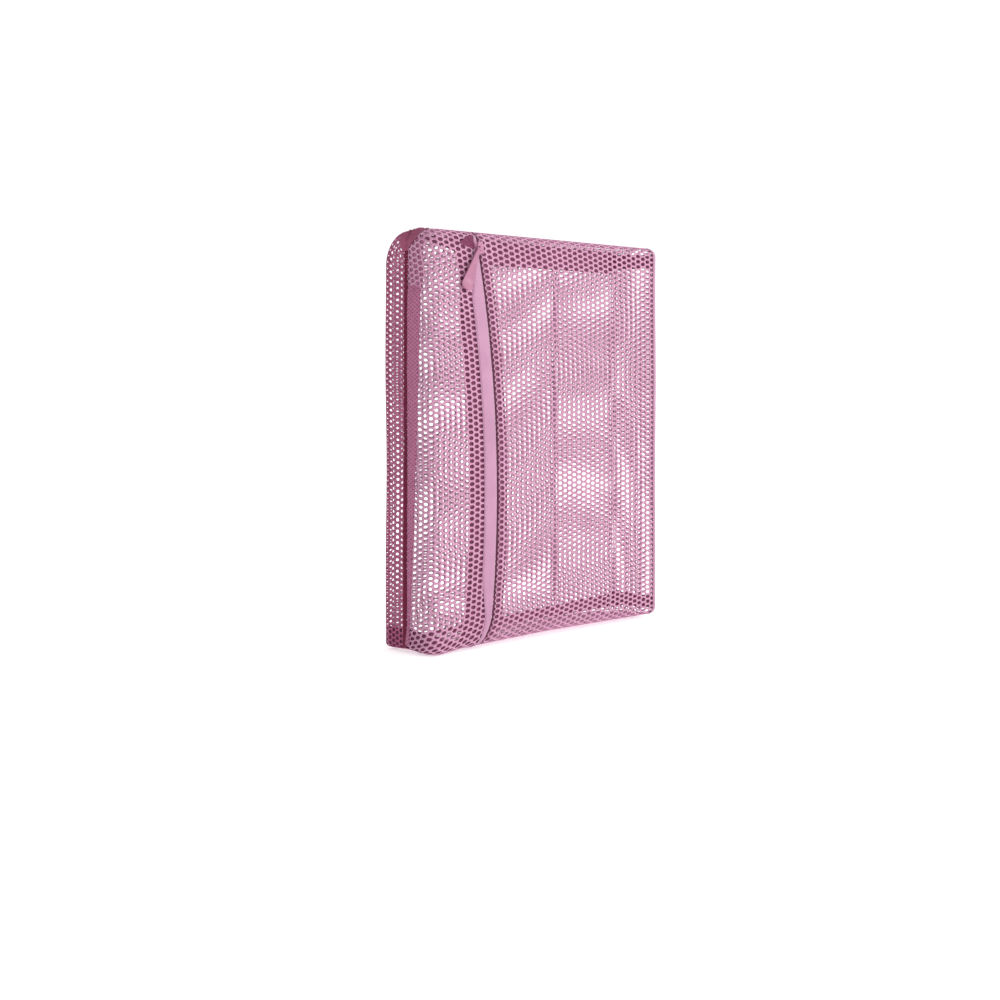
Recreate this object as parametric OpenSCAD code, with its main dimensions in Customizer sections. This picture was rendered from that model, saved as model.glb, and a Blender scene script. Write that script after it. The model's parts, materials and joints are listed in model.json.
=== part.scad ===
// Zipped mesh laundry bag, filled to a box shape and standing on its bottom net.
// +X runs to the right along the front, the front faces -Y and +Z is up.
// The origin is under the middle of the whole part, on the surface that it stands on.
// All sizes are millimetres and all angles are degrees.

/* [Bag] */
// Width across the front
bag_w = 268; // [220:1:340]
// Depth from front to back
bag_d = 56; // [48:1:80]
// Height
bag_h = 340; // [300:1:430]
// Thickness of one layer of net
net_t = 1.2; // [0.8:0.1:1.6]
// Thickness of a folded hem inside the net
hem_t = 0.8; // [0.6:0.1:1.2]
// Distance of the back seam from the left side, as a share of the width
back_seam_share = 0.736; // [0.6:0.01:0.8]

/* [Rounding] */
// Radius of the front left upright edge
front_left_r = 13; // [8:0.5:16]
// Radius of the other upright edges
upright_r = 7; // [5:0.5:8]
// Radius of the long edges at the front
front_edge_r = 8; // [6:0.5:9]
// Radius of the long edge at the top of the back
back_top_r = 28; // [16:1:32]
// Radius of the long edge at the foot of the back
back_foot_r = 4; // [3:0.5:7]
// Radius of the short edges at the top and foot of the sides
side_edge_r = 6; // [4:0.5:8]

/* [Hems] */
// Width of the seam band near its top
band_top_w = 20; // [16:1:22]
// Width of the seam band at half height
band_mid_w = 14; // [10:1:16]
// Width of the seam band at its foot
band_foot_w = 5; // [3:1:9]
// Height of the hem along the top of the back
back_top_hem = 10; // [6:1:14]
// Height of the hem along the foot of the back at its left end
back_foot_hem_low = 5; // [3:1:8]
// Height of the hem along the foot of the back at its right end
back_foot_hem_high = 15; // [10:1:18]
// Height of the hems at the top and foot of the right side
side_hem = 11; // [8:1:14]
// Width of the tape sewn over the back seam
seam_tape_w = 5; // [4:0.5:8]

/* [Zip] */
// Radius of the bow that the zip follows
zip_r = 937; // [900:1:1100]
// Distance of the zip's furthest point from the left side
zip_side = 71.5; // [66:0.5:80]
// Height of the zip's furthest point
zip_far_z = 127.5; // [110:0.5:150]
// Width of the slit between the two tapes
slit_w = 2.4; // [2.2:0.1:3]
// Width of the bare tape left of the slit
tape_show = 13.5; // [10:0.5:15]
// Width of the tape under the net right of the slit
tape_right_w = 11; // [9:0.5:14]
// Width of the net hem left of the bare tape
zip_hem_w = 13; // [10:0.5:15]
// Thickness of the tapes
tape_t = 0.6; // [0.4:0.1:0.8]
// Width of one side's coil
coil_w = 2.5; // [2:0.1:3]
// Thickness of the coils
coil_t = 1.8; // [1.4:0.1:2.2]
// Gap between the two coils for the slider's neck
coil_gap = 1.4; // [1.3:0.1:1.6]
// Height of the slider's middle when the zip is closed
closed_z = 326; // [290:1:326]
// Height of the slider's middle when the zip is open
open_z = 46; // [44:1:80]

/* [Slider and pull] */
// Width of the slider
slider_w = 8.6; // [8.2:0.1:10]
// Length of the slider
slider_l = 10; // [9:0.5:12]
// Thickness of the slider's two plates
plate_t = 0.9; // [0.8:0.1:1.1]
// Thickness of the slider's neck
neck_t = 0.9; // [0.8:0.1:1]
// Radius of the swivel's pin
pin_r = 0.8; // [0.7:0.05:0.9]
// Radius of the cross pin that the pull turns on
cross_r = 0.6; // [0.5:0.05:0.7]
// Play all round a pin in its hole
pin_play = 0.08; // [0.05:0.01:0.1]
// Play between the slider and the zip
slide_play = 0.3; // [0.25:0.05:0.4]
// Angle that the pull leans to the left of straight down
pull_lean = 20; // [10:1:25]
// Length of the pull from its cross pin
pull_l = 36; // [30:1:38]
// Width of the pull at its top
pull_top_w = 3.6; // [3.4:0.1:4]
// Width of the pull near its foot
pull_foot_w = 11.8; // [8:0.1:12]
// Thickness of the pull
pull_t = 1.6; // [1.4:0.1:1.8]

/* [Hidden] */
// Smoothness of small curves, and of the zip's long bow
small_fn = 72;
bow_fn = 1440;
// A little more than nothing, for cutters that pass through a face
over = 1;

// The stack in front of the front net: slider plate, link and pull
plate_front = slide_play + plate_t;
link_t = 1.1;
link_r = 1.9;
link_gap = 0.15;
eye_r = 1.3;
eye_away = 4.2;
ear_t = 0.9;
ear_play = 0.12;
eye_out = plate_front + link_gap + eye_r;
pull_reach = eye_out + eye_r;

// Places of the bag's faces
left_x = -bag_w / 2;
right_x = bag_w / 2;
front_y = pull_reach / 2 - bag_d / 2;
back_y = front_y + bag_d;
side_seam_y = front_y + bag_d / 2;
back_seam_x = left_x + bag_w * back_seam_share;

// The zip's bow, about an axis along Y far to the left
bow_x = left_x + zip_side - zip_r;
bow_z = zip_far_z;
tape_y = front_y + net_t;
coil_y = tape_y + tape_t;
closed_a = bow_angle(closed_z);
open_a = bow_angle(open_z);
tape_left_r = zip_r - slit_w / 2;
tape_right_r = zip_r + slit_w / 2;
strip_edge_r = tape_left_r - tape_show;
tape_tuck = 1;
panel_tuck = 0.6;
stop_l = 2.4;
stop_gap = 0.5;
tape_foot_z = front_edge_r + 1;
tape_top_z = bag_h - front_edge_r - 0.5;

// Angle on the bow, above the level of its axis, of a point at a height
function bow_angle(z) = asin((z - bow_z) / zip_r);

// A rectangle from (0, 0), with its own radius at each corner:
// low left, low right, high right, high left
module rounded_outline(w, h, radii) {
    at = [[0, 0], [w, 0], [w, h], [0, h]];
    inward = [[1, 1], [-1, 1], [-1, -1], [1, -1]];
    polygon([for (i = [0:3], first = [1, 0])
        let(along_x = (i % 2 == 0) ? 1 - first : first)
        [at[i][0] + inward[i][0] * radii[i] * along_x,
         at[i][1] + inward[i][1] * radii[i] * (1 - along_x)]]);
    for (i = [0:3])
        translate([at[i][0] + inward[i][0] * radii[i], at[i][1] + inward[i][1] * radii[i]])
            circle(r = radii[i], $fn = small_fn);
}

// The bag's outer form moved inwards: what three rounded outlines have in common
module form(inset) {
    w = bag_w - 2 * inset;
    d = bag_d - 2 * inset;
    h = bag_h - 2 * inset;
    plan = [for (r = [front_left_r, upright_r, upright_r, upright_r]) r - inset];
    front = [for (r = [side_edge_r, side_edge_r, side_edge_r, side_edge_r]) r - inset];
    side = [for (r = [front_edge_r, back_foot_r, back_top_r, front_edge_r]) r - inset];
    translate([left_x + inset, front_y + inset, inset])
        intersection() {
            linear_extrude(h) rounded_outline(w, d, plan);
            translate([0, d, 0]) rotate([90, 0, 0]) linear_extrude(d) rounded_outline(w, h, front);
            rotate([90, 0, 90]) linear_extrude(w) rounded_outline(d, h, side);
        }
}

// A layer that follows the form, from one inset to the next
module layer(inset, thickness) {
    difference() {
        form(inset);
        form(inset + thickness);
    }
}

// A box between two opposite corners
module region(low, high) {
    translate(low) cube(high - low);
}

// The inside of a cylinder about the zip's axis
module inside_bow(r) {
    translate([bow_x, back_y + over, bow_z])
        rotate([90, 0, 0])
            cylinder(r = r, h = bag_d + 2 * over, $fn = bow_fn);
}

// A flat strip that follows the bow, between two radii, two depths and two heights
module bow_strip(r_in, r_out, y_low, y_high, z_low, z_high) {
    translate([bow_x, 0, bow_z])
        rotate([90, 0, 0])
            rotate([0, 0, bow_angle(z_low)])
                rotate_extrude(angle = bow_angle(z_high) - bow_angle(z_low), $fn = bow_fn)
                    translate([r_in, -y_high])
                        square([r_out - r_in, y_high - y_low]);
}

// Puts a thing on the zip's middle line at an angle: +X points outwards and +Z upwards
module on_bow(a) {
    translate([bow_x, 0, bow_z]) rotate([0, -a, 0]) translate([zip_r, 0, 0]) children();
}

// Height range of the nets between the top and bottom nets
mid_low = front_edge_r;
mid_high = bag_h - front_edge_r;

module front_net() {
    color([0.84, 0.66, 0.75])
        difference() {
            intersection() {
                layer(0, net_t);
                region([left_x, front_y, mid_low], [right_x - upright_r, front_y + upright_r, mid_high]);
            }
            inside_bow(tape_right_r + panel_tuck);
        }
}

module front_strip_net() {
    color([0.82, 0.62, 0.72])
        intersection() {
            layer(0, net_t);
            region([left_x, front_y, mid_low], [0, side_seam_y, mid_high]);
            inside_bow(strip_edge_r);
        }
}

module back_net() {
    color([0.8, 0.6, 0.7])
        intersection() {
            layer(0, net_t);
            region([left_x, side_seam_y, mid_low], [back_seam_x, back_y, mid_high]);
        }
}

module back_strip_net() {
    color([0.78, 0.58, 0.68])
        intersection() {
            layer(0, net_t);
            region([back_seam_x, side_seam_y, mid_low], [right_x - upright_r, back_y, mid_high]);
        }
}

module top_net() {
    color([0.72, 0.5, 0.6])
        intersection() {
            layer(0, net_t);
            region([left_x, front_y, mid_high], [right_x, back_y, bag_h]);
        }
}

module bottom_net() {
    color([0.7, 0.48, 0.58])
        intersection() {
            layer(0, net_t);
            region([left_x, front_y, 0], [right_x, back_y, mid_low]);
        }
}

module right_side_net() {
    color([0.74, 0.52, 0.62])
        intersection() {
            layer(0, net_t);
            region([right_x - upright_r, front_y + upright_r, mid_low], [right_x, back_y, mid_high]);
        }
}

module right_edge_fold() {
    color([0.76, 0.6, 0.7])
        intersection() {
            layer(0, net_t);
            region([right_x - upright_r, front_y, mid_low], [right_x, front_y + upright_r, mid_high]);
        }
}

// The seam allowance of the side seam, folded forward inside the net and narrower towards its foot
module side_seam_band() {
    band_top_z = bag_h - back_top_r;
    color([0.63, 0.39, 0.5])
        intersection() {
            layer(net_t, hem_t);
            translate([left_x, 0, 0])
                rotate([90, 0, 90])
                    linear_extrude(front_left_r)
                        polygon([
                            [side_seam_y, mid_low], [side_seam_y, band_top_z],
                            [side_seam_y - band_top_w, band_top_z],
                            [side_seam_y - band_mid_w, bag_h / 2],
                            [side_seam_y - band_foot_w, mid_low]]);
        }
}

// The end of the top seam, gathered inside the top left corner
module top_corner_fold() {
    color([0.6, 0.36, 0.45])
        intersection() {
            layer(net_t, hem_t);
            region([left_x, front_y + front_left_r, bag_h - back_top_r],
                [left_x + front_left_r, back_y, bag_h]);
        }
}

module back_seam_tape() {
    color([0.66, 0.42, 0.54])
        intersection() {
            layer(net_t, hem_t);
            region([back_seam_x - seam_tape_w / 2, back_y - upright_r, back_foot_hem_high],
                [back_seam_x + seam_tape_w / 2, back_y, bag_h - back_top_r - back_top_hem]);
        }
}

module back_top_hem() {
    color([0.66, 0.44, 0.55])
        intersection() {
            layer(net_t, hem_t);
            region([left_x + front_left_r, side_seam_y, bag_h - back_top_r - back_top_hem],
                [right_x - upright_r, back_y, bag_h - back_top_r + back_top_hem]);
        }
}

// The hem along the foot of the back, which rises towards the right
module back_foot_hem() {
    low_end = left_x + front_left_r;
    high_end = right_x - upright_r;
    color([0.66, 0.44, 0.55])
        intersection() {
            layer(net_t, hem_t);
            translate([0, back_y, 0])
                rotate([90, 0, 0])
                    linear_extrude(back_foot_r)
                        polygon([
                            [low_end, net_t], [high_end, net_t],
                            [high_end, back_foot_hem_high], [low_end, back_foot_hem_low]]);
        }
}

module side_top_hem() {
    color([0.63, 0.4, 0.52])
        intersection() {
            layer(net_t, hem_t);
            region([right_x - upright_r, front_y + upright_r, mid_high - side_hem],
                [right_x, back_y - upright_r, mid_high]);
        }
}

module side_foot_hem() {
    color([0.63, 0.4, 0.52])
        intersection() {
            layer(net_t, hem_t);
            region([right_x - upright_r, front_y + upright_r, mid_low],
                [right_x, back_y - upright_r, mid_low + side_hem]);
        }
}

module zip_hem() {
    color([0.62, 0.4, 0.5])
        bow_strip(strip_edge_r - tape_tuck - zip_hem_w, strip_edge_r - tape_tuck,
            tape_y, tape_y + hem_t, tape_foot_z, tape_top_z);
}

module zip_tape_left() {
    color([0.78, 0.6, 0.7])
        bow_strip(strip_edge_r - tape_tuck, tape_left_r, tape_y, tape_y + tape_t,
            tape_foot_z, tape_top_z);
}

module zip_tape_right() {
    color([0.74, 0.56, 0.66])
        bow_strip(tape_right_r, tape_right_r + tape_right_w, tape_y, tape_y + tape_t,
            tape_foot_z, tape_top_z);
}

// One side's coil, a plain band where its turns are
module zip_coil(r_in) {
    bow_strip(r_in, r_in + coil_w, coil_y, coil_y + coil_t,
        open_z - slider_l / 2 - stop_gap, closed_z + slider_l / 2 - stop_gap);
}

module zip_coil_left() {
    color([0.5, 0.3, 0.4]) zip_coil(zip_r - coil_gap / 2 - coil_w);
}

module zip_coil_right() {
    color([0.5, 0.3, 0.4]) zip_coil(zip_r + coil_gap / 2);
}

// A stop clamped at the upper end of one coil
module zip_top_stop(r_in) {
    bow_strip(r_in, r_in + coil_w, coil_y, coil_y + coil_t,
        closed_z + slider_l / 2 - stop_gap, closed_z + slider_l / 2 - stop_gap + stop_l);
}

module zip_top_stop_left() {
    color([0.75, 0.5, 0.6]) zip_top_stop(zip_r - coil_gap / 2 - coil_w);
}

module zip_top_stop_right() {
    color([0.75, 0.5, 0.6]) zip_top_stop(zip_r + coil_gap / 2);
}

// The stop across both coils below the open slider
module zip_foot_stop() {
    foot_z = open_z - slider_l / 2 - stop_gap;
    color([0.75, 0.5, 0.6])
        bow_strip(zip_r - coil_gap / 2 - coil_w, zip_r + coil_gap / 2 + coil_w,
            coil_y, coil_y + coil_t, foot_z - stop_l, foot_z);
}

// The slider: a plate in front of the tapes, a tray behind the coils and the neck between them,
// with the boss that the swivel link turns in
module slider_body() {
    plate_y = front_y - plate_front;
    tray_y = coil_y + coil_t + slide_play;
    flange_x = coil_gap / 2 + coil_w + slide_play;
    neck_l = slider_l - 2 * stop_l;
    color([0.8, 0.56, 0.66])
        on_bow(closed_a)
            difference() {
                union() {
                    translate([-slider_w / 2, plate_y, -slider_l / 2])
                        cube([slider_w, plate_t, slider_l]);
                    translate([-slider_w / 2, tray_y, -slider_l / 2])
                        cube([slider_w, plate_t, slider_l]);
                    for (side = [-1, 1])
                        translate([side > 0 ? flange_x : -slider_w / 2, coil_y + slide_play,
                            -slider_l / 2])
                            cube([slider_w / 2 - flange_x, tray_y - coil_y, slider_l]);
                    translate([-neck_t / 2, plate_y, -neck_l / 2])
                        cube([neck_t, tray_y - plate_y + plate_t, neck_l]);
                }
                translate([0, front_y - slide_play + over, swivel_up])
                    rotate([90, 0, 0])
                        cylinder(r = pin_r + pin_play, h = plate_t + 2 * over, $fn = small_fn);
            }
}

// Height of the swivel above the slider's middle, clear of its neck
swivel_up = slider_l / 2 - 1.9;

// Puts a thing at the swivel: -Z points along the pull and -Y points outwards
module at_swivel() {
    on_bow(closed_a)
        translate([0, front_y, swivel_up])
            rotate([0, closed_a + pull_lean, 0])
                children();
}

// The link: a pin in the slider's boss, a disc on it and two ears for the cross pin
module swivel_link() {
    disc_y = -(plate_front + link_gap);
    ear_x = eye_w / 2 + ear_play;
    color([0.82, 0.58, 0.68])
        at_swivel() {
            translate([0, -slide_play + 0.1, 0])
                rotate([90, 0, 0])
                    cylinder(r = pin_r, h = plate_front + link_gap - slide_play + 0.1 + link_t / 2,
                        $fn = small_fn);
            translate([0, disc_y, 0])
                rotate([90, 0, 0])
                    cylinder(r = link_r, h = link_t, $fn = small_fn);
            for (side = [-1, 1])
                difference() {
                    union() {
                        translate([side * (ear_x + ear_t / 2) - ear_t / 2, disc_y - link_t, -eye_away])
                            cube([ear_t, link_t, eye_away]);
                        translate([side * (ear_x + ear_t / 2) - ear_t / 2, -eye_out, -eye_away])
                            rotate([0, 90, 0])
                                cylinder(r = eye_r - ear_play, h = ear_t, $fn = small_fn);
                    }
                    translate([side * (ear_x + ear_t / 2) - ear_t / 2 - over, -eye_out, -eye_away])
                        rotate([0, 90, 0])
                            cylinder(r = cross_r, h = ear_t + 2 * over, $fn = small_fn);
                }
        }
}

// Width of the pull's eye between the link's ears
eye_w = 1.9;

module cross_pin() {
    pin_l = eye_w + 2 * (ear_play + ear_t);
    color([0.7, 0.46, 0.56])
        at_swivel()
            translate([-pin_l / 2, -eye_out, -eye_away])
                rotate([0, 90, 0])
                    cylinder(r = cross_r, h = pin_l, $fn = small_fn);
}

// The pull: an eye on the cross pin and a long drop that widens towards a rounded foot
module pull_tab() {
    foot_r = pull_foot_w / 2;
    shoulder = eye_r + ear_play + 1;
    color([0.78, 0.56, 0.66])
        at_swivel()
            translate([0, -eye_out, -eye_away])
                difference() {
                    union() {
                        translate([-eye_w / 2, 0, 0])
                            rotate([0, 90, 0])
                                cylinder(r = eye_r, h = eye_w, $fn = small_fn);
                        translate([-eye_w / 2, -pull_t / 2, -shoulder - over])
                            cube([eye_w, pull_t, shoulder + over]);
                        translate([0, pull_t / 2, 0])
                            rotate([90, 0, 0])
                                linear_extrude(pull_t)
                                    drop_outline(shoulder, foot_r);
                    }
                    translate([-eye_w, 0, 0])
                        rotate([0, 90, 0])
                            cylinder(r = cross_r + pin_play, h = 2 * eye_w, $fn = small_fn);
                }
}

// The outline of the pull's drop, pointing down from its shoulder
module drop_outline(shoulder, foot_r) {
    foot_y = -pull_l + foot_r;
    lean = asin((foot_r - pull_top_w / 2) / (pull_l - foot_r - shoulder));
    polygon([
        [-pull_top_w / 2, -shoulder], [pull_top_w / 2, -shoulder],
        [foot_r * cos(lean), foot_y + foot_r * sin(lean)],
        [-foot_r * cos(lean), foot_y + foot_r * sin(lean)]]);
    translate([0, foot_y]) circle(r = foot_r, $fn = small_fn);
}

front_net();
front_strip_net();
back_net();
back_strip_net();
top_net();
bottom_net();
right_side_net();
right_edge_fold();
side_seam_band();
top_corner_fold();
back_seam_tape();
back_top_hem();
back_foot_hem();
side_top_hem();
side_foot_hem();
zip_hem();
zip_tape_left();
zip_tape_right();
zip_coil_left();
zip_coil_right();
zip_top_stop_left();
zip_top_stop_right();
zip_foot_stop();
slider_body();
swivel_link();
cross_pin();
pull_tab();
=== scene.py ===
"""The looks of a zipped honeycomb-net laundry bag, built round its CAD frame.

The bag's skin is one smooth form with two measures on it: u runs round the bag from the side
seam on its left, across the front, and v runs up from the foot. Nets, hems, folds and tapes are
all laid out flat in u and v, and then put on the form. Every length is in metres.
"""

import json
import logging
import math
from dataclasses import dataclass, field
from enum import Enum
from typing import Callable, Sequence

import bmesh
import bpy
import numpy as np
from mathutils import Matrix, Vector


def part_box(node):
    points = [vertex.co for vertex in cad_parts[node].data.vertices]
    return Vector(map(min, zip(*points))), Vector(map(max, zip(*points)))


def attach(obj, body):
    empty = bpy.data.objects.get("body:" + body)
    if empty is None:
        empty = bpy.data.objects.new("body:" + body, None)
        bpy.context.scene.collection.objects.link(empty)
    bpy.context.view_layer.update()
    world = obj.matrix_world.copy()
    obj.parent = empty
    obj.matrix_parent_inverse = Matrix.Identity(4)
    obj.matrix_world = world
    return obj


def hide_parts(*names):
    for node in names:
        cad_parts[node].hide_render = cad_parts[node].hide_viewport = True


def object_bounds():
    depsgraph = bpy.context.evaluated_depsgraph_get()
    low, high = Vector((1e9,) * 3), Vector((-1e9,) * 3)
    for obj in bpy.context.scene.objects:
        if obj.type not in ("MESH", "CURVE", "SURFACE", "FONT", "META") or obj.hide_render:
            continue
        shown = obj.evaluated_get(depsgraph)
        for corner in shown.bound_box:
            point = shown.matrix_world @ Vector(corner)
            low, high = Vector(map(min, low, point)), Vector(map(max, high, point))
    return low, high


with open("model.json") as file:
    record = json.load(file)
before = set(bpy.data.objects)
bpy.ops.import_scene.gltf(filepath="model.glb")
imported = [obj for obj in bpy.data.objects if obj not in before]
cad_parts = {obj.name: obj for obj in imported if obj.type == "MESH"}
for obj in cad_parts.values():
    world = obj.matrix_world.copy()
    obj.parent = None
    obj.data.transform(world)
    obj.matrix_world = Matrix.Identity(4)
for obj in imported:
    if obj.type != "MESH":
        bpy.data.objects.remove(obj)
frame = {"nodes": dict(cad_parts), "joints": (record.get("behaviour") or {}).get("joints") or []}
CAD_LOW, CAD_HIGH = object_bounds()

MM = 0.001
BAG, SLIDER, LINK, PULL = "bag", "slider", "link", "pull"
FLAT, OUT, ROOM = "flat", "out", "room"
SLIT = 2.4 * MM
WELD = 1e-7
QUARTER = math.pi / 2

log = logging.getLogger("laundry_bag")

Colour = tuple[float, float, float, float]
Array = np.ndarray
Edge = Callable[[Array], Array]
Room = Callable[[Array, Array, Array], Array]
Obj = bpy.types.Object
Mesh = bpy.types.Mesh
Socket = bpy.types.NodeSocket


class Hold(Enum):
    """How a piece of cloth is held."""

    STRETCHED = "stretched"
    FOLDED = "folded"
    GATHERED = "gathered"


class Side(Enum):
    """A side of the zip: which way its pieces lie from the zip's line."""

    LEFT = -1
    RIGHT = 1


# ---------------------------------------------------------------- small helpers


def smooth(t: Array | float) -> Array | float:
    """An S-shaped ramp from 0 to 1, level below 0 and above 1."""
    t = np.clip(t, 0.0, 1.0)
    return t * t * (3.0 - 2.0 * t)


def srgb(red: int, green: int, blue: int) -> Colour:
    """A colour from its usual values.

    Args:
        red: Red, 0 to 255.
        green: Green, 0 to 255.
        blue: Blue, 0 to 255.

    Returns:
        The colour in linear light, with full alpha.
    """
    parts = [c / 255.0 for c in (red, green, blue)]
    linear = [c / 12.92 if c <= 0.04045 else ((c + 0.055) / 1.055) ** 2.4 for c in parts]
    return (linear[0], linear[1], linear[2], 1.0)


def link_object(name: str, mesh: Mesh) -> Obj:
    """Puts a mesh in the scene as an object at the origin.

    Args:
        name: The object's name.
        mesh: Its mesh.

    Returns:
        The object.
    """
    obj = bpy.data.objects.new(name, mesh)
    bpy.context.scene.collection.objects.link(obj)
    return obj


def mesh_from(name: str, points: Array, faces: Sequence, uv: Array | None = None) -> Mesh:
    """Makes a smooth-shaded mesh.

    Args:
        name: The mesh's name.
        points: One row of three coordinates for each point.
        faces: The point numbers of each face.
        uv: One row of two values for each point, or None for no map.

    Returns:
        The mesh.
    """
    mesh = bpy.data.meshes.new(name)
    mesh.from_pydata(np.asarray(points, float).tolist(), [], [list(f) for f in faces])
    if uv is not None:
        layer = mesh.uv_layers.new(name=FLAT)
        loops = np.zeros(len(mesh.loops), np.int32)
        mesh.loops.foreach_get("vertex_index", loops)
        layer.data.foreach_set("uv", np.asarray(uv, np.float32)[loops].ravel())
    mesh.shade_smooth()
    mesh.update()
    return mesh


def facing_out(mesh: Mesh) -> Mesh:
    """Welds a mesh's doubled points and turns its faces outwards.

    Args:
        mesh: The mesh, changed in place.

    Returns:
        The same mesh.
    """
    work = bmesh.new()
    work.from_mesh(mesh)
    bmesh.ops.remove_doubles(work, verts=work.verts, dist=WELD)
    bmesh.ops.recalc_face_normals(work, faces=work.faces)
    work.to_mesh(mesh)
    work.free()
    return mesh


def merged(name: str, meshes: Sequence[Mesh]) -> Mesh:
    """Makes one mesh from several.

    Args:
        name: The new mesh's name.
        meshes: The meshes, which stay as they are.

    Returns:
        The new mesh.
    """
    work = bmesh.new()
    for mesh in meshes:
        work.from_mesh(mesh)
    whole = bpy.data.meshes.new(name)
    work.to_mesh(whole)
    work.free()
    return whole


def grid_faces(rows: int, cols: int) -> tuple[Array, Array]:
    """Numbers the points of a grid.

    Args:
        rows: How many rows of points.
        cols: How many points in each.

    Returns:
        The number of each point, and the faces between them.
    """
    number = np.arange(rows * cols).reshape(rows, cols)
    quads = np.stack([number[:-1, :-1], number[:-1, 1:], number[1:, 1:], number[1:, :-1]], -1)
    return number, quads.reshape(-1, 4)


def tube_faces(rings: int, sides: int, closed: bool) -> list[tuple[int, ...]]:
    """The faces of a tube of rings of points.

    Args:
        rings: How many rings.
        sides: How many points in each.
        closed: Whether the last ring joins the first; both ends are capped otherwise.

    Returns:
        The faces.
    """
    faces = []
    for r in range(rings if closed else rings - 1):
        n = (r + 1) % rings
        for k in range(sides):
            m = (k + 1) % sides
            faces.append((r * sides + k, r * sides + m, n * sides + m, n * sides + k))
    if not closed:
        last = range((rings - 1) * sides, rings * sides)
        faces += [tuple(range(sides)), tuple(reversed(last))]
    return faces


def thin_solid(name: str, outer: Array, inner: Array, uv: Array) -> Obj:
    """Makes a closed thin piece between two grids of points.

    Args:
        name: The piece's name.
        outer: Rows by columns by 3, the outer skin.
        inner: The same for the inner skin.
        uv: Rows by columns by 2, the flat place of each point.

    Returns:
        The piece.
    """
    number, quads = grid_faces(*outer.shape[:2])
    inside = number.size
    rim = np.concatenate([number[0, :], number[1:, -1], number[-1, -2::-1], number[-2:0:-1, 0]])
    ahead = np.roll(rim, -1)
    walls = np.stack([rim, rim + inside, ahead + inside, ahead], -1)
    faces = np.concatenate([quads, quads[:, ::-1] + inside, walls])
    points = np.concatenate([outer.reshape(-1, 3), inner.reshape(-1, 3)])
    flat = np.concatenate([uv.reshape(-1, 2)] * 2)
    return link_object(name, facing_out(mesh_from(name, points, faces, flat)))


def store(mesh: Mesh, name: str, values: Array, part: str = "vector") -> None:
    """Keeps something at every point of a mesh.

    Args:
        mesh: The mesh.
        name: The attribute's name.
        values: What to keep, point by point.
        part: What a point keeps: a "vector" or a "value".
    """
    kind = "FLOAT_VECTOR" if part == "vector" else "FLOAT"
    kept = mesh.attributes.new(name, kind, "POINT")
    kept.data.foreach_set(part, values.astype(np.float32).ravel())


def baked(obj: Obj, name: str) -> Obj:
    """Turns an object with live modifiers into a plain one.

    Args:
        obj: The object, which is removed.
        name: The new object's name.

    Returns:
        The plain object.
    """
    graph = bpy.context.evaluated_depsgraph_get()
    mesh = bpy.data.meshes.new_from_object(obj.evaluated_get(graph), depsgraph=graph)
    old = obj.data
    bpy.data.objects.remove(obj)
    if old.users == 0:
        bpy.data.meshes.remove(old)
    mesh.name = name
    return link_object(name, mesh)


# ---------------------------------------------------------------- node graphs


class Graph:
    """A node tree that is built call by call."""

    def __init__(self, tree: bpy.types.NodeTree) -> None:
        """Starts on an empty tree."""
        self.tree = tree

    def add(self, kind: str, inputs: dict | None = None, **settings: object) -> bpy.types.Node:
        """Adds a node.

        Args:
            kind: The node's type.
            inputs: A value or a socket for each input, by its name or number.
            **settings: The node's own options.

        Returns:
            The node.
        """
        node = self.tree.nodes.new(kind)
        for key, value in settings.items():
            setattr(node, key, value)
        for key, value in (inputs or {}).items():
            self.feed(node.inputs[key], value)
        return node

    def feed(self, socket: Socket, value: object) -> None:
        """Links a socket to another one, or sets its value."""
        if isinstance(value, Socket):
            self.tree.links.new(value, socket)
        else:
            socket.default_value = value

    def math(self, operation: str, *values: object) -> Socket:
        """The result of a Math node."""
        return self.add("ShaderNodeMath", dict(enumerate(values)), operation=operation).outputs[0]

    def vector(self, operation: str, *values: object) -> Socket:
        """The vector result of a Vector Math node."""
        node = self.add("ShaderNodeVectorMath", dict(enumerate(values)), operation=operation)
        return node.outputs[0]

    def scaled(self, vector: object, factor: object) -> Socket:
        """A vector times a number."""
        values = {0: vector, "Scale": factor}
        return self.add("ShaderNodeVectorMath", values, operation="SCALE").outputs[0]

    def joined(self, x: object, y: object, z: object) -> Socket:
        """A vector from its three parts."""
        return self.add("ShaderNodeCombineXYZ", {0: x, 1: y, 2: z}).outputs[0]

    def parts(self, vector: object) -> list[Socket]:
        """The three parts of a vector."""
        return list(self.add("ShaderNodeSeparateXYZ", {0: vector}).outputs)

    def noise(self, place: object, scale: float, detail: float) -> Socket:
        """Soft noise at a place."""
        values = {"Vector": place, "Scale": scale, "Detail": detail}
        return self.add("ShaderNodeTexNoise", values).outputs[0]

    def mixed(self, factor: object, first: Colour, second: Colour) -> Socket:
        """Two colours, mixed."""
        colours = {0: factor, 6: first, 7: second}
        return self.add("ShaderNodeMix", colours, data_type="RGBA").outputs[2]

    def wave(self, place: object, size: float) -> Socket:
        """A wave from 0 to 1 of that size along a place."""
        turned = self.math("SINE", self.math("MULTIPLY", place, 2 * math.pi / size))
        return self.math("MULTIPLY_ADD", turned, 0.5, 0.5)

    def flat_place(self) -> Socket:
        """The piece's own flat map, in metres."""
        return self.add("ShaderNodeUVMap", uv_map=FLAT).outputs[0]

    def object_place(self) -> Socket:
        """Object coordinates, in metres."""
        return self.add("ShaderNodeTexCoord").outputs["Object"]


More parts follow.
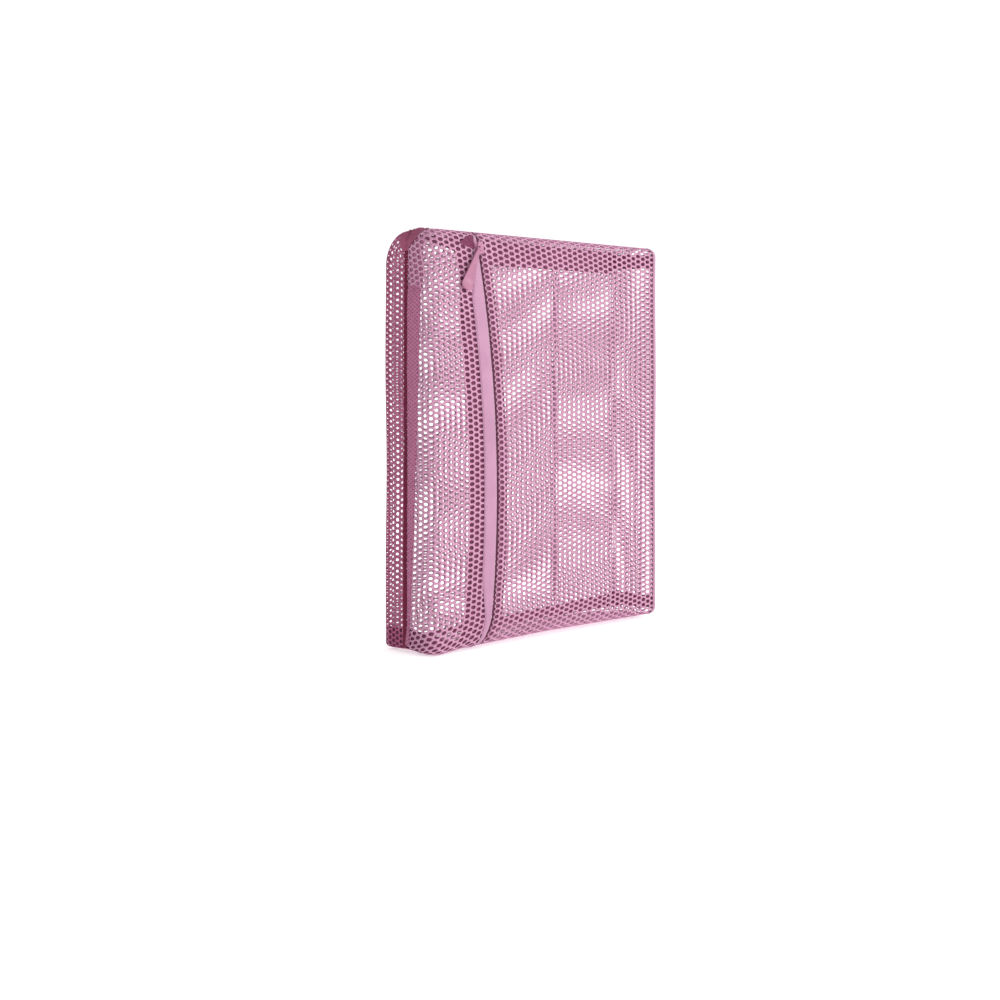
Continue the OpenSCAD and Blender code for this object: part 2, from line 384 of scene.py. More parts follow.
class GeometryTree(Graph):
    """A Geometry Nodes tree with named inputs, for modifiers that are baked at once."""

    def __init__(self, name: str) -> None:
        """Makes the tree with its geometry sockets."""
        super().__init__(bpy.data.node_groups.new(name, "GeometryNodeTree"))
        self.sockets: dict[str, bpy.types.NodeTreeInterfaceSocket] = {}
        face = self.tree.interface
        face.new_socket(name="Geometry", in_out="OUTPUT", socket_type="NodeSocketGeometry")
        self.named("Geometry", "NodeSocketGeometry")
        self.entry = self.add("NodeGroupInput")
        self.exit = self.add("NodeGroupOutput")

    @property
    def given(self) -> Socket:
        """The geometry of the object that the tree reads."""
        return self.entry.outputs["Geometry"]

    def named(self, name: str, kind: str) -> None:
        """Adds a named input."""
        made = self.tree.interface.new_socket(name=name, in_out="INPUT", socket_type=kind)
        self.sockets[name] = made

    def inputs(self, kind: str, *names: str) -> list[Socket]:
        """Adds several named inputs of one kind, and gives their sockets."""
        for name in names:
            self.named(name, kind)
        return [self.entry.outputs[name] for name in names]

    def geo(self, kind: str, inputs: dict | None = None, **settings: object) -> Socket:
        """The first output of a new Geometry node."""
        return self.add("GeometryNode" + kind, inputs, **settings).outputs[0]

    def attribute(self, name: str, kind: str) -> Socket:
        """A named attribute's value."""
        return self.geo("InputNamedAttribute", {"Name": name}, data_type=kind)

    def repeated(self, points: Socket, shape: Socket, **more: Socket) -> Socket:
        """An object's mesh at every point, as real geometry."""
        mould = self.add("GeometryNodeObjectInfo", {"Object": shape}).outputs["Geometry"]
        placed = self.geo("InstanceOnPoints", {"Points": points, "Instance": mould, **more})
        return self.geo("RealizeInstances", {"Geometry": placed})

    def finish(self, geometry: Socket, cloth: Socket) -> None:
        """Ends the tree in real, smooth geometry with its material."""
        real = self.geo("RealizeInstances", {"Geometry": geometry})
        rounded = self.geo("SetShadeSmooth", {"Geometry": real})
        dressed = self.geo("SetMaterial", {"Geometry": rounded, "Material": cloth})
        self.feed(self.exit.inputs[0], dressed)

    def bake(self, obj: Obj, name: str, values: dict) -> Obj:
        """Runs the tree on an object and keeps the plain result.

        Args:
            obj: The object that the tree reads, which is removed.
            name: The result's name.
            values: A value for each named input.

        Returns:
            The plain result.
        """
        modifier = obj.modifiers.new(name, "NODES")
        modifier.node_group = self.tree
        for key, value in values.items():
            modifier[self.sockets[key].identifier] = value
        return baked(obj, name)


class NetTree(GeometryTree):
    """Fills a flat region with net cells, welds them and lays them on a curved base."""

    def __init__(self) -> None:
        """Builds the tree."""
        super().__init__("honeycomb_net")
        (cell,) = self.inputs("NodeSocketObject", "Cell")
        (cloth,) = self.inputs("NodeSocketMaterial", "Material")
        start, end = self.inputs("NodeSocketVector", "Start", "End")
        names = ("Column Spacing", "Row Pitch", "Yarn Thickness", "Drift", "Drift Size", "Seed")
        spacing, pitch, yarn, drift, size, seed = self.inputs("NodeSocketFloat", *names)
        self.here = self.geo("InputPosition")
        kept = self.places(start, end, spacing, pitch)
        cells = self.welded(self.repeated(kept, cell))
        closed = self.closed(self.wandered(cells, drift, size, seed), yarn)
        self.finish(self.laid(closed), cloth)

    def sampled(self, kind: str, value: object) -> Socket:
        """What the base holds where its flat map meets the point that asks."""
        flat = self.attribute(FLAT, "FLOAT_VECTOR")
        inputs = {"Mesh": self.given, "Value": value, "UV Map": flat, "Sample UV": self.here}
        return self.geo("SampleUVSurface", inputs, data_type=kind)

    def welded(self, geometry: Socket) -> Socket:
        """Geometry with its doubled points made one."""
        return self.geo("MergeByDistance", {"Geometry": geometry, "Distance": 0.02 * MM})

    def places(self, start: Socket, end: Socket, spacing: Socket, pitch: Socket) -> Socket:
        """Places for cells in staggered columns, where the base has room for them.

        Args:
            start: The low corner of the flat region.
            end: Its high corner.
            spacing: Distance from column to column.
            pitch: Distance from row to row.

        Returns:
            The points.
        """
        x0, y0, _ = self.parts(start)
        x1, y1, _ = self.parts(end)
        columns, rows = (
            self.math("CEIL", self.math("DIVIDE", self.math("SUBTRACT", b, a), size))
            for a, b, size in ((x0, x1, spacing), (y0, y1, pitch))
        )
        points = self.geo("Points", {"Count": self.math("MULTIPLY", columns, rows)})
        index = self.geo("InputIndex")
        column = self.math("FLOOR", self.math("DIVIDE", index, rows))
        row = self.math("SUBTRACT", index, self.math("MULTIPLY", column, rows))
        stagger = self.math("MULTIPLY", self.math("MODULO", column, 2.0), 0.5)
        x = self.math("MULTIPLY_ADD", column, spacing, x0)
        y = self.math("MULTIPLY_ADD", self.math("ADD", row, stagger), pitch, y0)
        at = self.joined(x, y, 0.0)
        points = self.geo("SetPosition", {"Geometry": points, "Position": at})
        room = self.sampled("FLOAT", self.attribute(ROOM, "FLOAT"))
        full = self.math("LESS_THAN", room, 1e-6)
        return self.geo("DeleteGeometry", {"Geometry": points, "Selection": full})

    def wandered(self, cells: Socket, drift: Socket, size: Socket, seed: Socket) -> Socket:
        """Lets rows and columns wander a little within their plane, as a knit net's do.

        Args:
            cells: The flat cells.
            drift: The most that a point moves, about.
            size: How far apart the wanderings are.
            seed: Picks one of the endless patterns.

        Returns:
            The moved cells.
        """
        x, y, _ = self.parts(self.here)
        at = self.joined(self.math("DIVIDE", x, size), self.math("DIVIDE", y, size), seed)
        noise = self.add("ShaderNodeTexNoise", {"Vector": at, "Scale": 1.0, "Detail": 2.0})
        push = self.vector("SUBTRACT", noise.outputs["Color"], (0.5, 0.5, 0.5))
        push = self.scaled(self.scaled(push, 2.0), drift)
        level = self.vector("MULTIPLY", push, (1.0, 1.0, 0.0))
        return self.geo("SetPosition", {"Geometry": cells, "Offset": level})

    def closed(self, cells: Socket, yarn: Socket) -> Socket:
        """Closes the net's border with a wall between its two skins, and stores its flat map."""
        alone = self.math("COMPARE", self.geo("InputMeshEdgeNeighbors"), 1.0, 0.1)
        height = self.parts(self.here)[2]
        upper = self.math("MULTIPLY", alone, self.math("GREATER_THAN", height, 0.0))
        down = self.joined(0.0, 0.0, self.math("MULTIPLY", yarn, -1.0))
        inputs = {"Mesh": cells, "Selection": upper, "Offset": down}
        walls = self.welded(self.geo("ExtrudeMesh", inputs, mode="EDGES"))
        inputs = {"Geometry": walls, "Name": FLAT, "Value": self.here}
        return self.geo("StoreNamedAttribute", inputs, data_type="FLOAT2", domain="CORNER")

    def laid(self, net: Socket) -> Socket:
        """Lays the flat net on the base."""
        place = self.sampled("FLOAT_VECTOR", self.here)
        outward = self.sampled("FLOAT_VECTOR", self.attribute(OUT, "FLOAT_VECTOR"))
        lifted = self.vector("ADD", place, self.scaled(outward, self.parts(self.here)[2]))
        return self.geo("SetPosition", {"Geometry": net, "Position": lifted})


class BeadTree(GeometryTree):
    """Sets one small shape again and again along a line of edges."""

    def __init__(self) -> None:
        """Builds the tree."""
        super().__init__("beads_on_a_line")
        (bead,) = self.inputs("NodeSocketObject", "Bead")
        (finish,) = self.inputs("NodeSocketMaterial", "Material")
        (gap,) = self.inputs("NodeSocketFloat", "Gap")
        line = self.geo("MeshToCurve", {"Mesh": self.given})
        kept = self.add("GeometryNodeCaptureAttribute", {"Geometry": line}, domain="POINT")
        kept.capture_items.new("VECTOR", "Outward")
        self.feed(kept.inputs[1], self.attribute(OUT, "FLOAT_VECTOR"))
        inputs = {"Curve": kept.outputs[0], "Length": gap}
        points = self.add("GeometryNodeCurveToPoints", inputs, mode="LENGTH")
        ways = {0: points.outputs["Tangent"], 1: kept.outputs[1]}
        turn = self.add("FunctionNodeAxesToRotation", ways, primary_axis="X", secondary_axis="Z")
        beads = self.repeated(points.outputs["Points"], bead, Rotation=turn.outputs[0])
        self.finish(beads, finish)


# ---------------------------------------------------------------- finishes


@dataclass(frozen=True)
class Finish:
    """What every finish has: a name, two tones of one colour and how it takes the light."""

    name: str
    tone: Colour
    shade: Colour
    roughness: float
    sheen: float = 0.0
    coat: float = 0.0

    def material(self) -> bpy.types.Material:
        """Makes the material: its shader's constants, its mix of tones and its bump."""
        material = bpy.data.materials.new(self.name)
        material.use_nodes = True
        material.diffuse_color = self.tone
        graph = Graph(material.node_tree)
        shader = material.node_tree.nodes["Principled BSDF"]
        shader.inputs["Roughness"].default_value = self.roughness
        shader.inputs["Sheen Weight"].default_value = self.sheen
        shader.inputs["Sheen Roughness"].default_value = 0.4
        shader.inputs["Coat Weight"].default_value = self.coat
        shader.inputs["Coat Roughness"].default_value = 0.25
        shader.inputs["Specular IOR Level"].default_value = 0.35
        tone, height, depth = self.grain(graph)
        graph.feed(shader.inputs["Base Color"], graph.mixed(tone, self.shade, self.tone))
        relief = {"Height": height, "Distance": depth, "Strength": 0.8}
        graph.feed(shader.inputs["Normal"], graph.add("ShaderNodeBump", relief).outputs[0])
        return material

    def grain(self, graph: Graph) -> tuple[Socket, Socket, float]:
        """The mix of the two tones, the bump's height and its depth in metres."""
        raise NotImplementedError


@dataclass(frozen=True)
class YarnFinish(Finish):
    """Knitted net yarn: fine filaments, with tone that drifts along the knit."""

    filament: float = 0.35 * MM
    drift: float = 26 * MM

    def grain(self, graph: Graph) -> tuple[Socket, Socket, float]:
        """Slow and fine drifts of tone, and slanting filaments."""
        place = graph.object_place()
        slow = graph.math("MULTIPLY", graph.noise(place, 1.0 / self.drift, 3.0), 0.7)
        fine = graph.math("MULTIPLY", graph.noise(place, 1.0 / (4 * self.filament), 2.0), 0.35)
        twist = {"Vector": graph.flat_place(), "Scale": 0.05 / self.filament}
        twist |= {"Distortion": 1.2, "Detail": 1.0}
        wave = graph.add("ShaderNodeTexWave", twist, bands_direction="DIAGONAL")
        return graph.math("ADD", slow, fine), wave.outputs["Fac"], 0.06 * MM


@dataclass(frozen=True)
class FoldFinish(Finish):
    """Layers of net folded on each other: closed, with slanting ribs and painted shade where their
    holes lie.
    """

    rib: float = 2.3 * MM
    slant: float = 0.62

    def grain(self, graph: Graph) -> tuple[Socket, Socket, float]:
        """Ribs that cross, darker where they meet as painted shade in the holes, with a fine grain.
        """
        u, v, _ = graph.parts(graph.flat_place())
        ribs = [
            graph.wave(graph.math("MULTIPLY_ADD", u, way, v), self.rib)
            for way in (self.slant, -self.slant)
        ]
        # Darker where the ribs cross: painted shade in the holes.
        holes = graph.math("MULTIPLY", *ribs)
        net = graph.math("SUBTRACT", 1.0, graph.math("MULTIPLY", holes, 0.85))
        grain = graph.math("ADD", graph.noise(graph.object_place(), 240.0, 3.0), 0.45)
        return graph.math("MULTIPLY", net, grain), net, 0.25 * MM


@dataclass(frozen=True)
class WovenFinish(Finish):
    """Smooth woven tape: close ribs along it and fine threads across."""

    warp: float = 0.9 * MM
    weft: float = 0.45 * MM

    def grain(self, graph: Graph) -> tuple[Socket, Socket, float]:
        """The weave, over a slow drift of tone."""
        u, v, _ = graph.parts(graph.flat_place())
        weave = graph.math("MAXIMUM", graph.wave(u, self.warp), graph.wave(v, self.weft))
        slow = graph.math("MULTIPLY", graph.noise(graph.object_place(), 55.0, 4.0), 0.9)
        return graph.math("ADD", graph.math("MULTIPLY", weave, 0.35), slow), weave, 0.08 * MM


@dataclass(frozen=True)
class MouldedFinish(Finish):
    """Painted or moulded small parts: satin, with faint orange peel and worn edges."""

    peel: float = 0.7 * MM

    def grain(self, graph: Graph) -> tuple[Socket, Socket, float]:
        """A slow drift of tone, lighter at worn edges, and a fine peel."""
        place = graph.object_place()
        slow = graph.math("MULTIPLY", graph.noise(place, 160.0, 4.0), 0.9)
        worn = graph.add("ShaderNodeNewGeometry").outputs["Pointiness"]
        ramp = {0: worn, 1: 0.52, 2: 0.62, 3: 0.0, 4: 0.35}
        edge = graph.add("ShaderNodeMapRange", ramp).outputs[0]
        fine = graph.noise(place, 1.0 / self.peel, 1.0)
        return graph.math("ADD", slow, edge), fine, 0.03 * MM


@dataclass(frozen=True)
class Wardrobe:
    """Every finish on the bag: its name, its two tones, then roughness, sheen and coat."""

    net: Finish = YarnFinish("net_yarn", srgb(208, 155, 184), srgb(177, 116, 148), 0.6, 0.25)
    # Yarn darkened: painted shade for the left side, which faces away from the light.
    side_net_painted_shade: Finish = YarnFinish("side_net_yarn", srgb(188, 100, 138), srgb(138, 56, 94), 0.6)
    back_net: Finish = YarnFinish(
        "back_net_yarn", srgb(224, 183, 206), srgb(201, 154, 179), 0.6, 0.2
    )
    thread: Finish = YarnFinish("sewing_thread", srgb(206, 152, 182), srgb(170, 112, 146), 0.5)
    # Darker than the net: painted shade for the hem layers that lie behind the net.
    fold: Finish = FoldFinish("folded_net", srgb(162, 88, 124), srgb(104, 42, 72), 0.7, 0.2)
    # Darker still: painted shade for the hollows behind the net.
    shaded_inner_fold: Finish = FoldFinish("inner_fold", srgb(122, 54, 86), srgb(76, 24, 50), 0.8)
    band: Finish = FoldFinish(
        "turned_net", srgb(174, 104, 138), srgb(118, 52, 86), 0.65, 0.05, rib=3.2 * MM
    )
    # A dark strip: painted shadow in the side seam's groove.
    bound_edge: Finish = WovenFinish("bound_edge", srgb(112, 22, 58), srgb(80, 8, 38), 0.8)
    # Gathered net, darkened with painted shade for the top corner.
    gather: Finish = WovenFinish("gathered_net", srgb(166, 84, 116), srgb(100, 32, 60), 0.65)
    tape: Finish = WovenFinish("woven_tape", srgb(184, 136, 164), srgb(158, 108, 138), 0.5, 0.3)
    # The tape darkened: painted shade where it lies under the net's edge.
    shaded_tape: Finish = WovenFinish("covered_tape", srgb(128, 64, 96), srgb(92, 34, 62), 0.7)
    # The coil's tone darkened: painted shade inside the slit.
    coil: Finish = MouldedFinish("nylon_coil", srgb(118, 58, 86), srgb(84, 32, 58), 0.35)
    stop: Finish = MouldedFinish("moulded_stop", srgb(190, 134, 162), srgb(160, 104, 134), 0.35)
    metal: Finish = MouldedFinish(
        "painted_slider", srgb(186, 124, 154), srgb(146, 84, 116), 0.32, coat=0.3
    )
    pull: Finish = MouldedFinish(
        "painted_pull", srgb(180, 121, 147), srgb(150, 88, 117), 0.38, coat=0.2
    )


class Dresser:
    """Hands out each finish's material, made once."""

    def __init__(self, wardrobe: Wardrobe) -> None:
        """Keeps the finishes."""
        self.wardrobe = wardrobe
        self.made: dict[str, bpy.types.Material] = {}

    def material(self, finish: Finish) -> bpy.types.Material:
        """The finish's material."""
        if finish.name not in self.made:
            self.made[finish.name] = finish.material()
        return self.made[finish.name]

    def dress(self, obj: Obj, finish: Finish) -> None:
        """Gives an object that one finish."""
        mesh = obj.data
        mesh.materials.clear()
        mesh.materials.append(self.material(finish))
        mesh.polygons.foreach_set("material_index", np.zeros(len(mesh.polygons), np.int32))


# ---------------------------------------------------------------- the bag's form


@dataclass(frozen=True)
class Outline:
    """A rectangle with round corners, seen from above, that starts at the side seam.

    Its nine stretches run forward along the left side, round the front and back to the seam.
    """

    left: float
    right: float
    front: float
    back: float
    radii: tuple[float, float, float, float]
    seam_y: float

    def lengths(self) -> Array:
        """The lengths of the nine stretches."""
        fl, fr, br, bl = self.radii
        width, depth = self.right - self.left, self.back - self.front
        side = [self.seam_y - self.front - fl, fl * QUARTER, width - fl - fr, fr * QUARTER]
        side += [depth - fr - br, br * QUARTER, width - br - bl, bl * QUARTER]
        return np.array(side + [self.back - self.seam_y - bl])

    def straight(self, stretch: int) -> tuple[tuple[float, float], tuple[float, float]]:
        """The two ends of a straight stretch."""
        fl, fr, br, bl = self.radii
        return {
            0: ((self.left, self.seam_y), (self.left, self.front + fl)),
            2: ((self.left + fl, self.front), (self.right - fr, self.front)),
            4: ((self.right, self.front + fr), (self.right, self.back - br)),
            6: ((self.right - br, self.back), (self.left + bl, self.back)),
            8: ((self.left, self.back - bl), (self.left, self.seam_y)),
        }[stretch]

    def centre(self, stretch: int) -> tuple[float, float]:
        """The centre of a round stretch."""
        fl, fr, br, bl = self.radii
        return {
            1: (self.left + fl, self.front + fl),
            3: (self.right - fr, self.front + fr),
            5: (self.right - br, self.back - br),
            7: (self.left + bl, self.back - bl),
        }[stretch]

    def at(self, stretch: Array, share: Array) -> Array:
        """The x and y of places on the outline: a stretch, 0 to 8, and a share along it."""
        out = np.zeros(stretch.shape + (2,))
        ways = outward_level(stretch, share)
        for k in range(9):
            here = stretch == k
            if k % 2 == 0:
                a, b = (np.array(end) for end in self.straight(k))
                out[here] = a + (b - a) * share[here][:, None]
            else:
                out[here] = np.array(self.centre(k)) + self.radii[k // 2] * ways[here]
        return out


def outward_level(stretch: Array, share: Array) -> Array:
    """The level way out of an outline, as x and y."""
    straight = {0: (-1, 0), 2: (0, -1), 4: (1, 0), 6: (0, 1), 8: (-1, 0)}
    first = {1: math.pi, 3: 1.5 * math.pi, 5: 0.0, 7: 0.5 * math.pi}
    out = np.zeros(stretch.shape + (2,))
    for k in range(9):
        here = stretch == k
        if k % 2 == 0:
            out[here] = straight[k]
        else:
            angle = first[k] + share[here] * QUARTER
            out[here] = np.stack([np.cos(angle), np.sin(angle)], -1)
    return out


def quarter_arc(a: Array, b: Array) -> Array:
    """The length of a quarter of an ellipse with those two half axes, about."""
    return QUARTER * np.sqrt((a**2 + b**2) / 2)


@dataclass
class BagForm:
    """The filled bag's skin, from the CAD nodes' boxes.

    The sides stand upright between a rounded foot and a rounded top, whose roundings grow from
    the front to the back. u runs round the outline and v up it.
    """

    left: float
    right: float
    front: float
    back: float
    height: float
    bow_x: float
    bow_z: float
    bow_r: float
    upright_radii: tuple[float, float, float, float] = (13 * MM, 5 * MM, 4 * MM, 4 * MM)
    top_radii: tuple[float, float, float, float] = (7 * MM, 4 * MM, 3 * MM, 3 * MM)
    foot_radii: tuple[float, float, float, float] = (9 * MM, 4 * MM, 3 * MM, 3 * MM)
    proud_back: float = 4.5 * MM
    proud_right: float = 3.5 * MM
    top_side: float = 7 * MM
    top_back: float = 22 * MM
    top_front_r: float = 8 * MM
    top_back_r: float = 28 * MM
    foot_side: float = 5 * MM
    foot_front_r: float = 8 * MM
    foot_back_r: float = 4 * MM
    pinch_depth: float = 2.4 * MM
    pinch_reach: float = 2.6 * MM
    back_belly: float = 2.2 * MM
    back_ripple: float = 0.5 * MM
    front_belly: float = 1.0 * MM
    front_ripple: float = 0.35 * MM
    arch_reach: float = 55 * MM
    hook_height: float = 26 * MM
    hook_reach: float = 11 * MM
    outline: Outline = field(init=False)
    top: Outline = field(init=False)
    foot: Outline = field(init=False)
    starts: Array = field(init=False)

    def __post_init__(self) -> None:
        """Works out the outlines at the sides, the top and the foot."""
        seam = (self.front + self.back) / 2 + self.proud_back
        self.back += self.proud_back
        self.right += self.proud_right
        self.outline, self.top, self.foot = (
            Outline(
                self.left + side, self.right - side, self.front + front, self.back - back, radii, seam
            )
            for side, front, back, radii in (
                (0.0, 0.0, 0.0, self.upright_radii),
                (self.top_side, self.top_front_r, self.top_back, self.top_radii),
                (self.foot_side, self.foot_front_r, self.foot_back_r, self.foot_radii),
            )
        )
        self.starts = np.concatenate([[0.0], np.cumsum(self.outline.lengths())])

    @property
    def girth(self) -> float:
        """The length of the outline."""
        return float(self.starts[-1])

    @property
    def back_seam(self) -> float:
        """The u of the upright seam in the back."""
        return float(self.u_back(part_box("back_strip_net")[0].x))

    def u_front(self, x: Array | float) -> Array | float:
        """The u of a place on the flat of the front."""
        return self.starts[2] + (x - self.left - self.upright_radii[0])

    def u_back(self, x: Array | float) -> Array | float:
        """The u of a place on the flat of the back."""
        return self.starts[6] + (self.right - self.upright_radii[2] - x)

    def zip_x(self, z: Array | float) -> Array | float:
        """The x of the zip's line at a height: the bow, and the hook at its foot."""
        bow = self.bow_x + np.sqrt(self.bow_r**2 - (z - self.bow_z) ** 2)
        low = np.clip((self.hook_height - z) / self.hook_height, 0.0, 1.4)
        return bow - self.hook_reach * low**2

    def split(self, u: Array) -> tuple[Array, Array]:
        """The stretch and the share along it of each u."""
        turned = np.mod(u, self.girth)
        stretch = np.clip(np.searchsorted(self.starts, turned, side="right") - 1, 0, 8)
        share = (turned - self.starts[stretch]) / np.diff(self.starts)[stretch]
        return stretch, share

    def softness(self, u: Array, v: Array, side: Array) -> Array:
        """How far the filled net stands out from, or sinks below, the plain form.

        Args:
            u: Places round the bag.
            v: Places up it.
            side: The x and y on the outline.

        Returns:
            The distance outwards.
        """
        up = np.clip(v / self.height, 0.0, 1.0)
        fade = smooth(up / 0.12) * smooth((1.0 - up) / 0.14)
        turned = np.mod(u, self.girth)
        from_seam = np.minimum(turned, self.girth - turned)
        pinch = -self.pinch_depth * np.exp(-((from_seam / self.pinch_reach) ** 2))
        pinch = pinch * smooth((v - 4 * MM) / (20 * MM))
        on_back = smooth((side[..., 1] - self.front) / (self.back - self.front) * 2 - 0.6)
        across = (side[..., 0] - self.left) / (self.right - self.left)
        belly = np.sin(math.pi * np.clip(across, 0, 1)) * fade
        ripple = np.sin(across * 9.0 + 3.0 * up) * np.sin(up * 11.0 + 4.0 * across)
        back = on_back * (self.back_belly * belly + self.back_ripple * ripple * fade)
        right_of_zip = smooth((across - 0.42) / 0.3) * (1.0 - on_back)
        front = right_of_zip * (self.front_belly * belly + self.front_ripple * ripple * fade)
        return pinch + back + front

    def surface(self, u: Array, v: Array, lift: Array | float = 0.0) -> Array:
        """Places on the skin.

        Args:
            u: Places round the bag.
            v: Places up it.
            lift: How far outside the skin they are.

        Returns:
            Their coordinates.
        """
        u, v = np.broadcast_arrays(np.asarray(u, float), np.asarray(v, float))
        step = 0.2 * MM
        here = self.bare(u, v)
        along = self.bare(u + step, v) - self.bare(u - step, v)
        rise = self.bare(u, v + step) - self.bare(u, v - step)
        out = np.cross(along, rise)
        out /= np.maximum(np.linalg.norm(out, axis=-1, keepdims=True), 1e-12)
        return here + out * np.asarray(lift)[..., None] * np.ones_like(here)

    def outward(self, u: Array, v: Array) -> Array:
        """The way out of the skin at places on it."""
        return (self.surface(u, v, 1.0 * MM) - self.surface(u, v)) / MM

    def arch(self, u: Array) -> Array:
        """How far the foot stands off the floor round the bag: only its corners touch."""
        s = self.starts
        places = [0.0, s[1], s[2], s[2] + 25 * MM, s[2] + 120 * MM, s[3], s[5], s[7], s[9]]
        heights = [1.9, 1.0, 0.0, 2.2, 3.9, 2.8, 0.6, 0.6, 1.9]
        return np.interp(np.mod(u, self.girth), places, heights) * MM

    def outlines(self, stretch: Array, share: Array) -> tuple[Array, Array, Array]:
        """The same places on the outlines of the sides, the top and the foot."""
        return tuple(o.at(stretch, share) for o in (self.outline, self.top, self.foot))

    def rounding(self, side: Array) -> tuple[Array, Array]:
        """The heights of the foot's and the top's roundings at places on the outline."""
        depth = smooth((side[..., 1] - self.front) / (self.back - self.front))
        foot = self.foot_front_r + (self.foot_back_r - self.foot_front_r) * depth
        top = self.top_front_r + (self.top_back_r - self.top_front_r) * depth
        return foot, top

    def reach(self, u: Array) -> tuple[Array, Array]:
        """The v at the two ends of the skin's rise, for each u."""
        side, top, foot = self.outlines(*self.split(np.asarray(u, float)))
        foot_r, top_r = self.rounding(side)
        low = foot_r - quarter_arc(np.linalg.norm(side - foot, axis=-1), foot_r)
        high = self.height - top_r + quarter_arc(np.linalg.norm(side - top, axis=-1), top_r)
        return low, high

    def bare(self, u: Array, v: Array) -> Array:
        """Places on the skin, before any lift.

        Args:
            u: Places round the bag.
            v: Places up it.

        Returns:
            Their coordinates.
        """
        stretch, share = self.split(u)
        side, top, foot = self.outlines(stretch, share)
        foot_r, top_r = self.rounding(side)
        level = self.height - top_r
        plan, z = side.copy(), v.copy()
        for past, inner, radius, start, sign in (
            (v - level, top, top_r, level, 1.0),
            (foot_r - v, foot, foot_r, foot_r, -1.0),
        ):
            inset = np.linalg.norm(side - inner, axis=-1)
            arc = quarter_arc(inset, radius)
            angle = np.clip(past / arc, 0.0, 1.0) * QUARTER
            beyond = np.maximum(past - arc, 0.0)
            on = past > 0
            towards = (inner - side) / np.maximum(inset, 1e-9)[..., None]
            moved = inner + (side - inner) * np.cos(angle)[..., None] + towards * beyond[..., None]
            plan = np.where(on[..., None], moved, plan)
            z = np.where(on, start + sign * radius * np.sin(angle), z)
        z = z + self.arch(u) * (1.0 - smooth(v / self.arch_reach))
        soft = self.softness(u, v, side)
        plan = plan + outward_level(stretch, share) * soft[..., None]
        return np.concatenate([plan, z[..., None]], -1)


def form_from_frame() -> BagForm:
    """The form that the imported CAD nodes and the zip's joint give."""
    run = next(j for j in frame["joints"] if j["name"] == "zip_run")
    bow_x, _, bow_z = run["pos_m"]
    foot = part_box("bottom_net")
    return BagForm(
        left=foot[0].x,
        right=foot[1].x,
        front=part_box("front_net")[0].y,
        back=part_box("back_net")[1].y,
        height=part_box("top_net")[1].z,
        bow_x=bow_x,
        bow_z=bow_z,
        bow_r=(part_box("zip_tape_left")[1].x + SLIT / 2) - bow_x,
    )


# ---------------------------------------------------------------- cloth pieces


@dataclass(frozen=True)
class CellShape:
    """One cell of honeycomb net: a hole with half of each yarn round it."""

    spacing: float = 5.7 * MM
    pitch: float = 4.66 * MM
    hole_w: float = 4.35 * MM
    hole_h: float = 2.95 * MM
    yarn: float = 0.9 * MM
    squareness: float = 2.5
    corners: int = 12

    @property
    def half(self) -> float:
        """From a column's middle to the tip of its cells."""
        return 2 / 3 * self.spacing

    def build(self, name: str) -> Obj:
        """Makes the cell, flat and round the origin.

        Args:
            name: The object's name.

        Returns:
            The cell: two skins that meet at the hole's edge.
        """
        n = self.corners
        ring = self.edge()
        turn = np.arange(n) * 2 * math.pi / n
        hole = [
            size / 2 * np.sign(way) * np.abs(way) ** (2.0 / self.squareness)
            for size, way in ((self.hole_w, np.cos(turn)), (self.hole_h, np.sin(turn)))
        ]
        level = np.full((n, 1), self.yarn / 2)
        loops = ((ring, level), (np.stack(hole, -1), 0 * level), (ring, -level))
        points = np.concatenate([np.concatenate(loop, 1) for loop in loops])
        faces = []
        for k in range(n):
            j = (k + 1) % n
            faces.append((k, j, n + j, n + k))
            faces.append((2 * n + j, 2 * n + k, n + k, n + j))
        return link_object(name, mesh_from(name, points, faces))

    def edge(self) -> Array:
        """The cell's outer edge: a hexagon's corners and the middles of its sides."""
        x, y = self.spacing / 3, self.pitch / 2
        six = np.array([(2 * x, 0), (x, y), (-x, y), (-2 * x, 0), (-x, -y), (x, -y)])
        middles = (six + np.roll(six, -1, axis=0)) / 2
        return np.stack([six, middles], 1).reshape(-1, 2)


